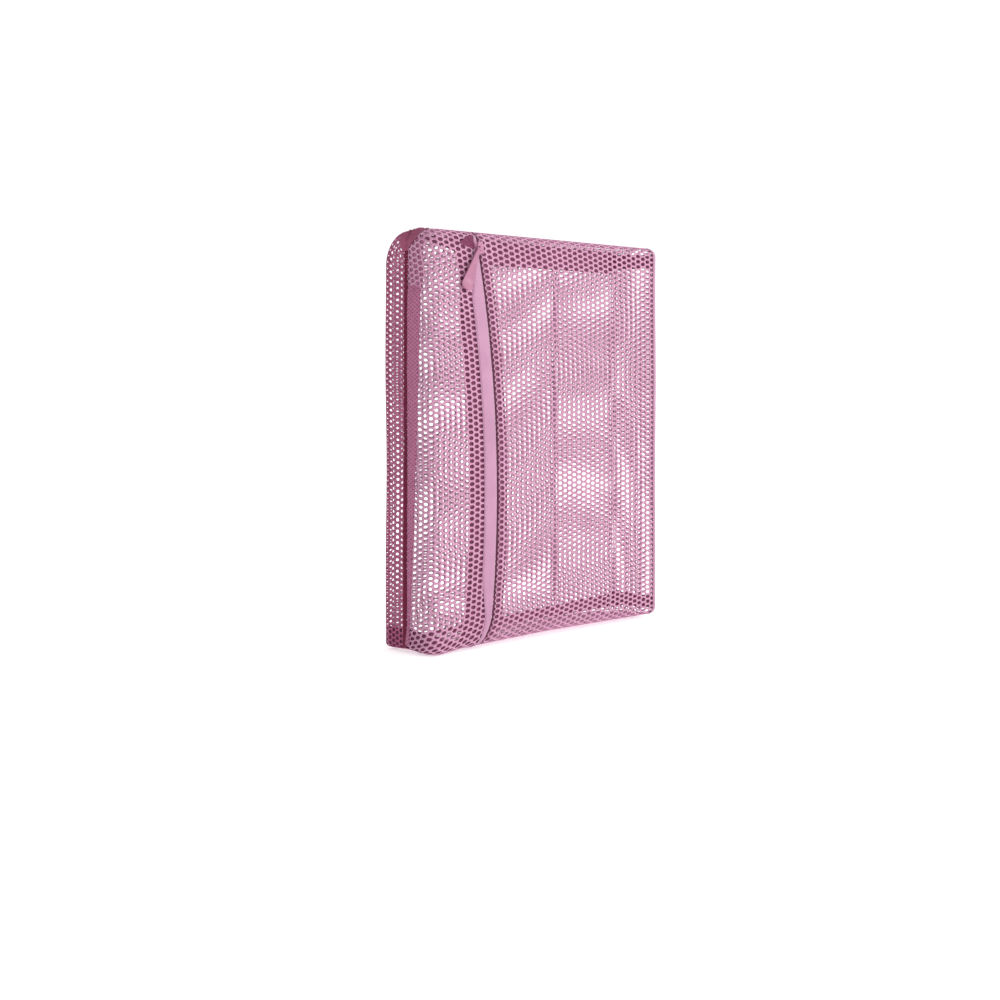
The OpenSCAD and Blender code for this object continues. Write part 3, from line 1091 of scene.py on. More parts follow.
@dataclass
class Workshop:
    """What every sub-assembly shares: the form, the trees and the finishes."""

    form: BagForm
    dresser: Dresser
    net_tree: NetTree = field(default_factory=NetTree)
    bead_tree: BeadTree = field(default_factory=BeadTree)

    @property
    def finishes(self) -> Wardrobe:
        """Every finish on the bag."""
        return self.dresser.wardrobe

    def settle(self, obj: Obj, body: str, slot: str, *nodes: str) -> Obj:
        """Ties a piece to its body and hides the CAD nodes that it stands for.

        Args:
            obj: The piece.
            body: The body that it rides on.
            slot: The record's material slot; not used.
            *nodes: The CAD nodes that it replaces.

        Returns:
            The piece.
        """
        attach(obj, body)
        if nodes:
            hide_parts(*nodes)
        log.info("%s: %d faces on %s", obj.name, len(obj.data.polygons), body)
        return obj

    def patch(self, name: str, u: Array, v: Array, outer: Array | float, thickness: float) -> Obj:
        """A closed strip of cloth on the form.

        Args:
            name: The piece's name.
            u: Rows by columns, places round the bag.
            v: The same, places up it.
            outer: How far the outer face stands out from the skin.
            thickness: The cloth's thickness.

        Returns:
            The piece.
        """
        outer = outer + np.zeros_like(u)
        skin = self.form.surface(u, v, outer)
        lining = self.form.surface(u, v, outer - thickness)
        return thin_solid(name, skin, lining, np.stack([u, v], -1))

    def beads(
        self, name: str, points: Array, outward: Array, gap: float, bead: Obj, finish: Finish
    ) -> Obj:
        """A row of small shapes along a line.

        Args:
            name: The row's name.
            points: The line's points.
            outward: The way out at each of them.
            gap: Distance from shape to shape.
            bead: The shape.
            finish: Its finish.

        Returns:
            The row.
        """
        mesh = bpy.data.meshes.new(name)
        mesh.from_pydata(points.tolist(), [(k, k + 1) for k in range(len(points) - 1)], [])
        store(mesh, OUT, outward)
        values = {"Bead": bead, "Material": self.dresser.material(finish), "Gap": gap}
        return self.bead_tree.bake(link_object(name, mesh), name, values)


@dataclass(frozen=True)
class Lattice:
    """A piece of net's own rows and columns, laid along u from a border.

    Attributes:
        place: The u of each lattice place and height.
        low: The lowest s.
        high: The highest s.
        dip: How far the rows sink in the middle.
    """

    place: Callable[[Array, Array], Array]
    low: float
    high: float
    dip: float = 0.0


def between(room: Room, low: float, high: float) -> Room:
    """The part of a room that lies between two heights."""
    return lambda s, u, v: np.minimum(room(s, u, v), np.minimum(v - low, high - v))


@dataclass
class Nets:
    """The net panels: one lattice for each cut of net, laid on the form."""

    shop: Workshop
    cell: CellShape = field(default_factory=CellShape)
    sunk: float = 0.75 * MM
    step: float = 2.0 * MM
    margin: float = 9.0 * MM
    drift: float = 0.85 * MM
    drift_size: float = 19 * MM
    seed: float = 4.0
    split_low: float = 8.0 * MM
    split_high: float = 332.0 * MM
    ends: tuple[float, float] = (-60 * MM, 380 * MM)
    back_ends: tuple[float, float] = (-12 * MM, 366 * MM)
    widened: float = 1.07
    gathered: float = 0.8
    back_dip: float = 5.0 * MM
    dip_fade: float = 60 * MM
    under_tape: float = 3.4 * MM
    slack: float = 0.5 * MM
    painted_shade_depth: float = 6 * MM
    over_top: tuple[float, ...] = (7.0, 7.0, 26.0, 4.0, 5.0, 3.0, 1.0, 3.0, 7.0)
    over_foot: tuple[float, ...] = (9.0, 9.0, 44.0, 4.0, 5.0, 3.0, 1.0, 3.0, 9.0)

    def __post_init__(self) -> None:
        """Makes the one cell that every net repeats."""
        self.mould = self.cell.build("net_cell_mould")

    def limits(self, u: Array) -> tuple[Array, Array]:
        """The lowest and the highest v of the net at each u.

        Args:
            u: Places round the bag.

        Returns:
            The two heights, a little past the rise, over the flat of the foot and the top.
        """
        low, high = self.shop.form.reach(u)
        stretch, _ = self.shop.form.split(u)
        over_foot, over_top = (np.array(o)[stretch] * MM for o in (self.over_foot, self.over_top))
        return low - over_foot, high + over_top

    def border(self, v: Array, side: Side) -> Array:
        """The u of the first column of cells beside the slit, on one side."""
        form = self.shop.form
        return form.u_front(form.zip_x(v)) + side.value * SLIT / 2 + side.value * self.cell.half

    def main_lattice(self) -> Lattice:
        """The front's cut, whose columns run along the zip and spread to the right edge."""
        end = float(self.shop.form.starts[3])
        length = end - float(self.border(np.array(150 * MM), Side.RIGHT))

        def place(s: Array, v: Array) -> Array:
            """The u of each place."""
            start = self.border(v, Side.RIGHT)
            return start + s * (end - start) / length

        return Lattice(place, 0.0, length)

    def strip_lattice(self) -> Lattice:
        """The strip's cut, whose columns run along the zip."""
        return Lattice(lambda s, v: self.border(v, Side.LEFT) + s, -118 * MM, 0.0)

    def plain_lattice(self, low: float, high: float, dip: float) -> Lattice:
        """A cut whose columns run straight up, pulled wide on the back and gathered at the side.

        Args:
            low: The u of its first border.
            high: The u of its last border.
            dip: How far its rows sink in the middle.

        Returns:
            The lattice.
        """
        turn = float(self.shop.form.starts[7])
        flat_part = max(min(turn, high) - low, 0.0) / self.widened
        side_part = max(high - max(turn, low), 0.0) / self.gathered

        def place(s: Array, v: Array) -> Array:
            """The u of each place."""
            spread = low + np.minimum(s, flat_part) * self.widened
            return spread + np.maximum(s - flat_part, 0.0) * self.gathered + 0 * v

        return Lattice(place, 0.0, flat_part + side_part, dip)

    def base(self, lattice: Lattice, v_low: float, v_high: float, room: Room) -> Obj:
        """The smooth skin that a net is laid on.

        Args:
            lattice: The net's rows and columns.
            v_low: The lowest v.
            v_high: The highest v.
            room: Above 0 where a cell belongs, from its s, u and v.

        Returns:
            The base, with its flat map, its outward ways and its room.
        """
        form = self.shop.form
        s, v = np.meshgrid(
            *(
                np.linspace(
                    low - self.margin,
                    high + self.margin,
                    int((high - low + 2 * self.margin) / self.step) + 2,
                )
                for low, high in ((lattice.low, lattice.high), (v_low, v_high))
            )
        )
        u = lattice.place(s, v)
        flat = np.stack([s, v], -1).reshape(-1, 2)
        across = np.clip((s - lattice.low) / (lattice.high - lattice.low), 0.0, 1.0)
        fade = smooth(v / self.dip_fade) * smooth((form.height - v) / self.dip_fade)
        v = v - lattice.dip * np.sin(math.pi * across) * fade
        points = form.surface(u, v, -self.sunk + 0 * u)
        mesh = mesh_from("net_base", points.reshape(-1, 3), grid_faces(*s.shape)[1], flat)
        store(mesh, OUT, form.outward(u, v))
        low, high = self.limits(u)
        inside = np.minimum(np.minimum(v - low, high - v), room(s, u, v))
        store(mesh, ROOM, inside, "value")
        return link_object("net_base", mesh)

    def net(
        self, name: str, lattice: Lattice, v_low: float, v_high: float, room: Room, finish: Finish
    ) -> Obj:
        """One piece of net.

        Args:
            name: Its name.
            lattice: Its rows and columns.
            v_low: Its lowest v.
            v_high: Its highest v.
            room: Above 0 where a cell belongs, from its s, u and v.
            finish: Its finish.

        Returns:
            The net, closed and plain.
        """
        cell = self.cell
        first = math.floor(lattice.low / (2 * cell.spacing)) * 2 * cell.spacing
        lowest = math.floor(v_low / cell.pitch) * cell.pitch
        values = {
            "Cell": self.mould,
            "Material": self.shop.dresser.material(finish),
            "Start": (first, lowest, 0.0),
            "End": (lattice.high + cell.spacing, v_high + cell.pitch, 0.0),
            "Column Spacing": cell.spacing,
            "Row Pitch": cell.pitch,
            "Yarn Thickness": cell.yarn,
            "Drift": self.drift,
            "Drift Size": self.drift_size,
            "Seed": self.seed,
        }
        base = self.base(lattice, v_low, v_high, room)
        result = self.shop.net_tree.bake(base, name, values)
        facing_out(result.data)
        self.shop.dresser.dress(result, finish)
        return result

    def joined(self, name: str, *parts: Obj) -> Obj:
        """One piece from several that are sewn together, which are removed."""
        mesh = merged(name, [part.data for part in parts])
        mesh.materials.append(parts[0].data.materials[0])
        for part in parts:
            bpy.data.objects.remove(part)
        return link_object(name, mesh)

    def declare(self, obj: Obj, node: str) -> None:
        """Ties a net to the bag and hides its node.

        Args:
            obj: The net.
            node: The CAD node that it replaces.
        """
        self.shop.settle(obj, BAG, "net_fabric", node)

    def paint_side_shade(self, net: Obj, finish: Finish) -> None:
        """Gives the part of a net that lies on the left side a darker copy of its finish: painted
        shade on the side that faces away from the light.
        """
        mesh = net.data
        mesh.materials.append(self.shop.dresser.material(finish))
        middles = np.zeros(len(mesh.polygons) * 3, np.float32)
        mesh.polygons.foreach_get("center", middles)
        painted_shade_faces = (middles[::3] < self.shop.form.left + self.painted_shade_depth).astype(np.int32)
        mesh.polygons.foreach_set("material_index", painted_shade_faces)

    def build(self, tape_edge: Edge) -> None:
        """Builds every net.

        Args:
            tape_edge: How far left of the slit the tape's edge lies at each v.
        """
        form = self.shop.form
        cuts = {Side.RIGHT: self.main_lattice(), Side.LEFT: self.strip_lattice()}

        def left_room(s: Array, u: Array, v: Array) -> Array:
            """Room between the side seam and the zip's tape."""
            hidden = np.maximum(tape_edge(v) - self.under_tape - self.cell.half, 0)
            return np.minimum(-hidden - s, u) + self.slack

        def right_room(s: Array, u: Array, v: Array) -> Array:
            """Room between the slit and the front's right edge."""
            return np.minimum(s, form.starts[3] + self.slack - u) + self.slack

        rooms = {Side.RIGHT: right_room, Side.LEFT: left_room}

        def front(name: str, side: Side, low: float, high: float) -> Obj:
            """The net on one side of the zip, between two heights."""
            room = between(rooms[side], low, high)
            return self.net(name, cuts[side], low, high, room, self.shop.finishes.net)

        middle = (self.split_low, self.split_high)
        for name, node, side, width in (
            ("net_front", "front_net", Side.RIGHT, cuts[Side.RIGHT].high),
            ("net_front_strip", "front_strip_net", Side.LEFT, 98 * MM),
        ):
            self.declare(front(name, side, *middle), node)
        for name, node, part, size in (
            ("net_top", "top_net", (self.split_high, self.ends[1]), (276 * MM, 36 * MM)),
            ("net_foot", "bottom_net", (self.ends[0], self.split_low), (276 * MM, 56 * MM)),
        ):
            halves = (front("a", Side.RIGHT, *part), front("b", Side.LEFT, *part))
            self.declare(self.joined(name, *halves), node)
        self.build_back()
        bpy.data.objects.remove(self.mould)

    def build_back(self) -> None:
        """Builds the nets of the back and the right side."""
        form, looks = self.shop.form, self.shop.finishes
        right, back = float(form.starts[4]), float(form.starts[5])
        for name, node, start, end, dip in (
            ("net_back", "back_net", form.back_seam, form.girth, self.back_dip),
            ("net_back_strip", "back_strip_net", back, form.back_seam, 0.0),
            ("net_right_side", "right_side_net", right, back, 0.0),
        ):
            cut = self.plain_lattice(start, end, dip)
            room = lambda s, u, v, far=cut.high: np.minimum(s, far - s) + self.slack
            piece = self.net(name, cut, *self.back_ends, room, looks.back_net)
            # The left side of the piece gets the darker yarn: painted shade.
            self.paint_side_shade(piece, looks.side_net_painted_shade)
            self.declare(piece, node)


@dataclass(frozen=True)
class Fan:
    """The place and shape of a gathered patch: where its creases meet, and how far they run."""

    u: float
    v: float
    left: float
    right: float
    rise_left: float
    rise_right: float
    crown: float
    lift: float
    crease: float


def mesh_of_shares(across: int, along: int, start: float = 0.0) -> list[Array]:
    """Two grids of shares from 0 to 1: across a patch, and along it from a start."""
    return np.meshgrid(np.linspace(0, 1, across), np.linspace(start, 1, along))


def level(u: float) -> Edge:
    """An edge that stays at one u."""
    return lambda v: u + 0 * v


@dataclass
class Folds:
    """The hems, seam allowances and folds of net that lie inside the nets, with dark patches that
    paint shade.
    """

    shop: Workshop
    behind: float = 1.35 * MM
    level_until: float = 0.55
    thickness: float = 0.7 * MM
    roll: float = 0.3 * MM
    band_top: float = 20 * MM
    band_mid: float = 14 * MM
    band_foot: float = 5 * MM
    under_from: float = 286 * MM

    def strip(
        self,
        name: str,
        left: Edge,
        right: Edge,
        v_range: tuple[float, float],
        counts: tuple[int, int],
        outer: float | None = None,
        thickness: float | None = None,
    ) -> Obj:
        """An upright strip between two edges that both change with height.

        Args:
            name: The strip's name.
            left: The u of its first edge at each v.
            right: The u of its second edge at each v.
            v_range: Its lowest and highest v.
            counts: Points across and up.
            outer: How far its outer face lies outside the skin.
            thickness: Its own thickness, where it isn't the usual one.

        Returns:
            The strip.
        """
        share, v = np.meshgrid(np.linspace(0, 1, counts[0]), np.linspace(*v_range, counts[1]))
        u = left(v) + (right(v) - left(v)) * share
        lift = (-self.behind if outer is None else outer) - self.roll + self.rolled(share)
        return self.shop.patch(name, u, v, lift, thickness or self.thickness)

    def rolled(self, share: Array) -> Array:
        """How far a strip's face stands out between its thin edges."""
        return self.roll * (1 - (2 * share - 1) ** 4)

    def sewn(
        self,
        obj: Obj,
        finish: Finish,
    ) -> None:
        """Dresses a hem that stands for no CAD node and ties it to the bag.

        Args:
            obj: The hem.
            finish: Its finish.
        """
        self.shop.dresser.dress(obj, finish)
        self.shop.settle(obj, BAG, "hem_fabric")

    def finish(
        self, obj: Obj, finish: Finish, slot: str, node: str, size: tuple[float, float]
    ) -> None:
        """Dresses a strip, ties it to the bag and hides its node.

        Args:
            obj: The strip.
            finish: Its finish.
            slot: The record's material slot.
            node: The CAD node that it replaces.
            size: The width and length that it was cut to; not used.
        """
        self.shop.dresser.dress(obj, finish)
        self.shop.settle(obj, BAG, slot, node)

    def band_width(self, v: Array) -> Array:
        """The side seam's allowance, widest at the top."""
        widths = [self.band_foot, self.band_mid, self.band_top]
        return np.interp(v, [8 * MM, 170 * MM, 312 * MM], widths)

    def build(self) -> None:
        """Builds every fold."""
        form, looks = self.shop.form, self.shop.finishes
        seam, start = form.back_seam, form.starts
        self.seam_band(looks)
        self.corner(looks)
        edges = level(seam - 1.3 * MM), level(seam + 1.3 * MM)
        tape = self.strip("hem_back_seam", *edges, (14 * MM, 316 * MM), (5, 110))
        self.finish(tape, looks.tape, "woven_tape", "back_seam_tape", (10 * MM, 290 * MM))
        back = start[5], start[7] + 4 * MM
        back_foot = start[6] - 2 * MM, start[7] + 2 * MM
        side = start[4], start[5]
        for name, node, ends, lows, highs, size in (
            ("hem_back_top", "back_top_hem", back, (319, 344), (347, 350), (272, 30)),
            ("hem_back_foot", "back_foot_hem", back_foot, (1, 1), (15, 5), (256, 15)),
            ("hem_right_top", "side_top_hem", side, (322, 322), (333, 337), (44, 16)),
            ("hem_right_foot", "side_foot_hem", side, (6, 4), (18, 18), (44, 15)),
        ):
            # These hems take the darker fold finish: painted shade behind the net.
            hem = self.level_hem(name, ends, lows, highs)
            self.finish(hem, looks.fold, "hem_fabric", node, (size[0] * MM, size[1] * MM))
        edges = level(start[3] - 1.0 * MM), level(start[4] + 1.6 * MM)
        v_range = (-3 * MM, 343 * MM)
        edge = self.strip("fold_right_edge", *edges, v_range, (13, 140), 0.1 * MM, 0.6 * MM)
        self.finish(edge, looks.tape, "net_fabric", "right_edge_fold", (15 * MM, 348 * MM))
        self.paint_groove_shadow(-1.2 * MM)
        self.paint_foot_corner_shade()

    def level_hem(
        self,
        name: str,
        ends: tuple[float, float],
        lows: tuple[float, float],
        highs: tuple[float, float],
    ) -> Obj:
        """A hem that runs round the bag between two slanting edges.

        Args:
            name: The hem's name.
            ends: The u of its two ends.
            lows: The v of its lower edge at them, in millimetres.
            highs: The v of its upper edge at them, in millimetres.

        Returns:
            The hem.
        """
        share, along = mesh_of_shares(9, 110)
        u = ends[0] + (ends[1] - ends[0]) * along
        bend = smooth((along - self.level_until) / (1 - self.level_until))
        low = (lows[0] + (lows[1] - lows[0]) * bend) * MM
        high = (highs[0] + (highs[1] - highs[0]) * along) * MM
        v = low + (high - low) * share
        lift = self.rolled(share) - self.behind - self.roll
        return self.shop.patch(name, u, v, lift, self.thickness)

    def gather(self, name: str, fan: Fan) -> Obj:
        """A gathered patch whose creases run out from a point like a fan.

        Args:
            name: The patch's name.
            fan: Its place and shape.

        Returns:
            The patch.
        """
        share, along = mesh_of_shares(81, 61, 0.06)
        u = fan.u + (fan.left + (fan.right - fan.left) * share) * along**0.8
        rise = fan.rise_left + (fan.rise_right - fan.rise_left) * share
        rise = rise + fan.crown * np.sin(math.pi * share)
        crease = np.sin(share * 19 + 1.2 * along) + 0.6 * np.sin(share * 33 - 2.0 * along)
        ease = np.sin(math.pi * share) ** 0.6 * along
        lift = fan.lift + fan.crease * crease * ease
        return self.shop.patch(name, u, fan.v + rise * along, lift, 0.5 * MM)

    def corner(self, looks: Wardrobe) -> None:
        """The gathered end of the top seam, and the pleats beside the zip's upper end, both darkened
        with painted shade.
        """
        form = self.shop.form
        top = (-2, 321, -14, 28, 15, 24, 5, 0.3, 0.8)
        patch = self.gather("fold_top_corner", Fan(*(size * MM for size in top)))
        self.finish(patch, looks.gather, "hem_fabric", "top_corner_fold", (46 * MM, 30 * MM))
        zip_u = float(form.u_front(form.zip_x(np.array(328 * MM)))) - 3.5 * MM
        beside = (325, -17, -3, 4, 12, 1, 0.05, 0.3)
        shaded_pleat = self.gather("fold_zip_end", Fan(zip_u, *(size * MM for size in beside)))
        self.sewn(shaded_pleat, looks.shaded_inner_fold)

    def seam_band(self, looks: Wardrobe) -> None:
        """The side seam's allowance: it lies on the net, and goes under it near the top."""
        share, v = np.meshgrid(np.linspace(0, 1, 17), np.linspace(5 * MM, 330 * MM, 170))
        pucker = 0.5 * MM * np.sin(v * 210.0) * share
        u = 0.4 * MM + (self.band_width(v) + pucker - 0.4 * MM) * share
        under = smooth((v - self.under_from) / (18 * MM))
        rounded = 0.35 * MM * (1 - (2 * share - 1) ** 6)
        crease = 0.12 * MM * np.sin(v * 640.0 + 9.0 * share) * np.sin(math.pi * share)
        lift = 0.15 * MM + rounded + crease - (self.behind + 0.9 * MM) * under
        band = self.shop.patch("fold_side_seam", u, v, lift, self.thickness)
        self.finish(band, looks.band, "hem_fabric", "side_seam_band", (20.5 * MM, 326 * MM))
        edges = level(-1.0 * MM), lambda v: self.band_width(v) + 0.4 * MM
        inner = self.strip(
            "fold_side_seam_inner", *edges, (288 * MM, 334 * MM), (9, 40), -1.15 * MM, 0.45 * MM
        )
        self.sewn(inner, looks.band)

    def paint_foot_corner_shade(self) -> None:
        """A dark patch behind the net round the left corner, along the foot seam: painted shade."""
        share, along = mesh_of_shares(9, 90)
        u = (-26 + 116 * along) * MM
        top = 18 - 8.5 * smooth((along - 0.42) / 0.3)
        low = -8.0
        v = (low + (top - low) * share) * MM
        patch = self.shop.patch("fold_foot_corner", u, v, -self.behind, self.thickness)
        self.sewn(patch, self.shop.finishes.shaded_inner_fold)

    def paint_groove_shadow(self, u: float) -> None:
        """A dark strip in the groove of the side seam, round that u: painted shadow of the seam's
        raised edge.
        """
        share, v = np.meshgrid(np.linspace(0, 1, 5), np.linspace(2 * MM, 336 * MM, 150))
        half = (1.9 - 0.7 * smooth(v / (340 * MM))) * MM
        u = u + (2 * share - 1) * half
        patch = self.shop.patch("piping_side_seam", u, v, -0.1 * MM, 0.5 * MM)
        self.sewn(patch, self.shop.finishes.bound_edge)


@dataclass
class Zip:
    """The zip's tapes, coils and stops, along the bow and round the foot."""

    shop: Workshop
    folds: Folds
    shown: float = 13.5 * MM
    narrow: float = 2.6 * MM
    narrow_from: float = 286 * MM
    top: float = 334 * MM
    hem_w: float = 14.5 * MM
    right_w: float = 10.5 * MM
    turn_gap: float = 1.25 * MM
    coil_off: float = 1.86 * MM

    def tape_width(self, v: Array) -> Array:
        """The width of bare tape left of the slit: it tapers under the slider at the top."""
        ramp = np.clip((v - self.narrow_from) / (self.top - self.narrow_from), 0, 1)
        upper = self.shown + (self.narrow - self.shown) * ramp**0.8
        lower = np.interp(v, [0.0, 22 * MM, 60 * MM], [3.4 * MM, 6.6 * MM, self.shown])
        return np.minimum(upper, lower)

    def slit(self, v: Array, side: Side) -> Array:
        """The u of the slit's edge on one side."""
        form = self.shop.form
        return form.u_front(form.zip_x(v)) + side.value * SLIT / 2

    def hem_edge(self, v: Array) -> Array:
        """The u of the zip hem's far edge, which draws in near the top."""
        width = self.hem_w * (0.6 + 0.4 * smooth(1 - (v - 250 * MM) / (60 * MM)))
        return self.slit(v, Side.LEFT) - self.shown - width

    def build(self) -> None:
        """Builds the zip without its slider."""
        looks, folds = self.shop.finishes, self.folds
        left = folds.strip(
            "tape_left",
            lambda v: self.slit(v, Side.LEFT) - self.tape_width(v),
            lambda v: self.slit(v, Side.LEFT),
            (-10 * MM, 336 * MM),
            (13, 170),
            0.15 * MM,
            0.45 * MM,
        )
        folds.finish(left, looks.tape, "woven_tape", "zip_tape_left", (16 * MM, 350 * MM))
        v_range = (-8 * MM, 336 * MM)
        edges = self.hem_edge, lambda v: self.slit(v, Side.LEFT) - 0.2 * MM
        # The zip hem takes the shaded inner fold: painted shade behind the strip's holes.
        hem = folds.strip("hem_zip", *edges, v_range, (13, 150))
        folds.finish(hem, looks.shaded_inner_fold, "hem_fabric", "zip_hem", (30 * MM, 350 * MM))
        edges = (
            lambda v: self.slit(v, Side.RIGHT),
            lambda v: self.slit(v, Side.RIGHT) + self.right_w,
        )
        # The right tape is darkened: painted shade under the net's edge.
        right = folds.strip("tape_right", *edges, v_range, (9, 150))
        folds.finish(right, looks.shaded_tape, "woven_tape", "zip_tape_right", (11 * MM, 350 * MM))
        self.coils()
        self.stops()

    def coils(self) -> None:
        """Both coils: turns of monofilament set along the bow behind the slit."""
        form, shop = self.shop.form, self.shop
        turn = self.turn("coil_turn_mould")
        low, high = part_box("zip_coil_left")
        z = np.linspace(low.z, high.z, 240)
        angle = np.arcsin((z - form.bow_z) / form.bow_r)
        depth = (low.y + high.y) / 2 + 0 * z
        out = np.tile([0.0, -1.0, 0.0], (len(z), 1))
        for side in Side:
            name = side.name.lower()
            radius = form.bow_r + side.value * self.coil_off
            x = form.bow_x + radius * np.cos(angle)
            points = np.stack([x, depth, form.bow_z + radius * np.sin(angle)], -1)
            # The coil's finish is darkened: painted shade inside the slit.
            coil = shop.beads(
                "coil_" + name, points, out, self.turn_gap, turn, shop.finishes.coil
            )
            shop.settle(coil, BAG, "zip_coil", "zip_coil_" + name)
        bpy.data.objects.remove(turn)

    def turn(self, name: str) -> Obj:
        """One turn of a coil: a flat loop of round wire.

        Args:
            name: The object's name.

        Returns:
            The turn, with X along the coil and Z out of the bag.
        """
        half_w, half_t, wire, skew = 0.97 * MM, 0.6 * MM, 0.34 * MM, 0.25 * MM
        rounds, sides = 10, 5
        points = []
        for k in range(rounds):
            a = 2 * math.pi * k / rounds
            centre = Vector((skew * math.sin(a), half_w * math.cos(a), half_t * math.sin(a)))
            out = Vector((0, math.cos(a), math.sin(a)))
            for j in range(sides):
                b = 2 * math.pi * j / sides
                points.append(centre + out * wire * math.cos(b) + Vector((wire * math.sin(b), 0, 0)))
        mesh = mesh_from(name, np.array(points), tube_faces(rounds, sides, closed=True))
        return link_object(name, facing_out(mesh))

    def stops(self) -> None:
        """Gives the CAD stops their moulded finish."""
        for node in ("zip_top_stop_left", "zip_top_stop_right", "zip_foot_stop"):
            self.shop.dresser.dress(frame["nodes"][node], self.shop.finishes.stop)


@dataclass
class Slider:
    """The slider, its swivel link and cross pin, and the pull."""

    shop: Workshop
    length: float = 36 * MM
    top_w: float = 3.6 * MM
    foot_w: float = 11.8 * MM
    thickness: float = 1.6 * MM
    neck: float = 2.4 * MM
    eye_r: float = 1.25 * MM
    eye_w: float = 1.9 * MM
    bore: float = 0.68 * MM
    lean: float = math.radians(23)
    foot_round: float = 4.6 * MM
    dished: float = 0.55 * MM
    eased: float = 0.14 * MM
    sides: int = 32

    def build(self) -> None:
        """Builds the slider's pieces."""
        looks = self.shop.finishes
        for node, body in (("slider_body", SLIDER), ("swivel_link", LINK), ("cross_pin", LINK)):
            piece = self.softened(node)
            self.shop.dresser.dress(piece, looks.metal)
            self.shop.settle(piece, body, "slider_metal", node)
        pull = self.pull()
        self.shop.dresser.dress(pull, looks.pull)
        self.shop.settle(pull, PULL, "pull_finish", "pull_tab")

    def softened(self, node: str) -> Obj:
        """A copy of a CAD node with its edges eased.

        Args:
            node: The CAD node.

        Returns:
            The copy.
        """
        mesh = frame["nodes"][node].data.copy()
        mesh.materials.clear()
        work = bmesh.new()
        work.from_mesh(mesh)
        bmesh.ops.remove_doubles(work, verts=work.verts, dist=1e-6)
        flat = math.radians(1)
        bmesh.ops.dissolve_limit(work, angle_limit=flat, verts=work.verts, edges=work.edges)
        work.to_mesh(mesh)
        work.free()
        piece = link_object(node + "_eased", mesh)
        bevel = piece.modifiers.new("eased", "BEVEL")
        bevel.width = self.eased
        bevel.segments = 2
        bevel.limit_method = "ANGLE"
        bevel.angle_limit = math.radians(40)
        bevel.use_clamp_overlap = True
        return baked(piece, node + "_eased")

    def half_width(self, down: Array) -> Array:
        """Half the pull's width at a distance below its eye."""
        foot_r = self.foot_w / 2
        centre = self.length - self.foot_round
        slope = (foot_r - self.top_w / 2) / (centre - self.neck)
        straight = self.top_w / 2 + slope * (down - self.neck)
        past = np.clip((down - centre) / self.foot_round, 0, 1)
        round_end = foot_r * (1 - past**2.6) ** (1 / 2.6)
        neck = self.top_w / 2 - (self.top_w - self.eye_w) / 2 * smooth(1 - down / self.neck)
        return np.where(down < self.neck, neck, np.minimum(straight, round_end))

    def pull(self) -> Obj:
        """The pull: a long drop with eased edges, a shallow dish in its face, and its eye.

        Returns:
            The pull, hanging from the cross pin.
        """
        low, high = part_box("cross_pin")
        pin = (low + high) / 2
        along = Vector((-math.sin(self.lean), 0, -math.cos(self.lean)))
        across = Vector((math.cos(self.lean), 0, -math.sin(self.lean)))
        outward = Vector((0, -1, 0))
        end, shaft = self.length - 1e-5, 28 * MM
        tip = end - (end - shaft) * np.linspace(1, 0, 25)[1:] ** 2
        down = np.concatenate([np.linspace(1.0 * MM, shaft, 55), tip])
        turn = np.arange(self.sides) * 2 * math.pi / self.sides
        points = []
        for d in down:
            half = max(float(self.half_width(np.array(d))), 0.05 * MM)
            thick = self.thickness / 2 * min(1.0, 0.35 + half / (1.6 * MM))
            for a in turn:
                x = half * math.copysign(abs(math.cos(a)) ** 0.35, math.cos(a))
                y = thick * math.copysign(abs(math.sin(a)) ** 0.55, math.sin(a))
                dish = self.dish(float(d), x, half) if math.sin(a) > 0 else 0.0
                points.append(pin + along * float(d) + across * x + outward * (y - dish))
        faces = tube_faces(len(down), self.sides, closed=False)
        drop = facing_out(mesh_from("drop", np.array(points), faces))
        eye = self.eye(pin, across, along, outward)
        return link_object("pull_drop", merged("pull_drop", [drop, eye]))

    def dish(self, down: float, x: float, half: float) -> float:
        """The depth of the hollow in the pull's face.

        Args:
            down: How far below the eye.
            x: How far from the middle.
            half: Half the pull's width there.

        Returns:
            The depth.
        """
        upper = smooth((down - 4 * MM) / (5 * MM))
        lower = smooth((self.length - 4 * MM - down) / (6 * MM))
        side = max(0.0, 1.0 - abs(x) / max(half - 0.9 * MM, 0.1 * MM))
        return self.dished * float(upper * lower) * float(smooth(side * 2.2))

    def eye(self, pin: Vector, across: Vector, along: Vector, outward: Vector) -> Mesh:
        """The eye that turns on the cross pin.

        Args:
            pin: The middle of the cross pin.
            across: The way along the pin.
            along: The way down the pull.
            outward: The way out of the bag.

        Returns:
            The eye.
        """
        outer, half, ease = self.eye_r, self.eye_w / 2, 0.15 * MM
        ring = [(outer, half - ease), (outer - ease, half), (self.bore, half)]
        ring += [(r, -h) for r, h in reversed(ring)]
        points = []
        for k in range(self.sides):
            a = 2 * math.pi * k / self.sides
            way = along * math.cos(a) + outward * math.sin(a)
            points += [pin + way * r + across * h for r, h in ring]
        faces = tube_faces(self.sides, len(ring), closed=True)
        return facing_out(mesh_from("eye", np.array(points), faces))


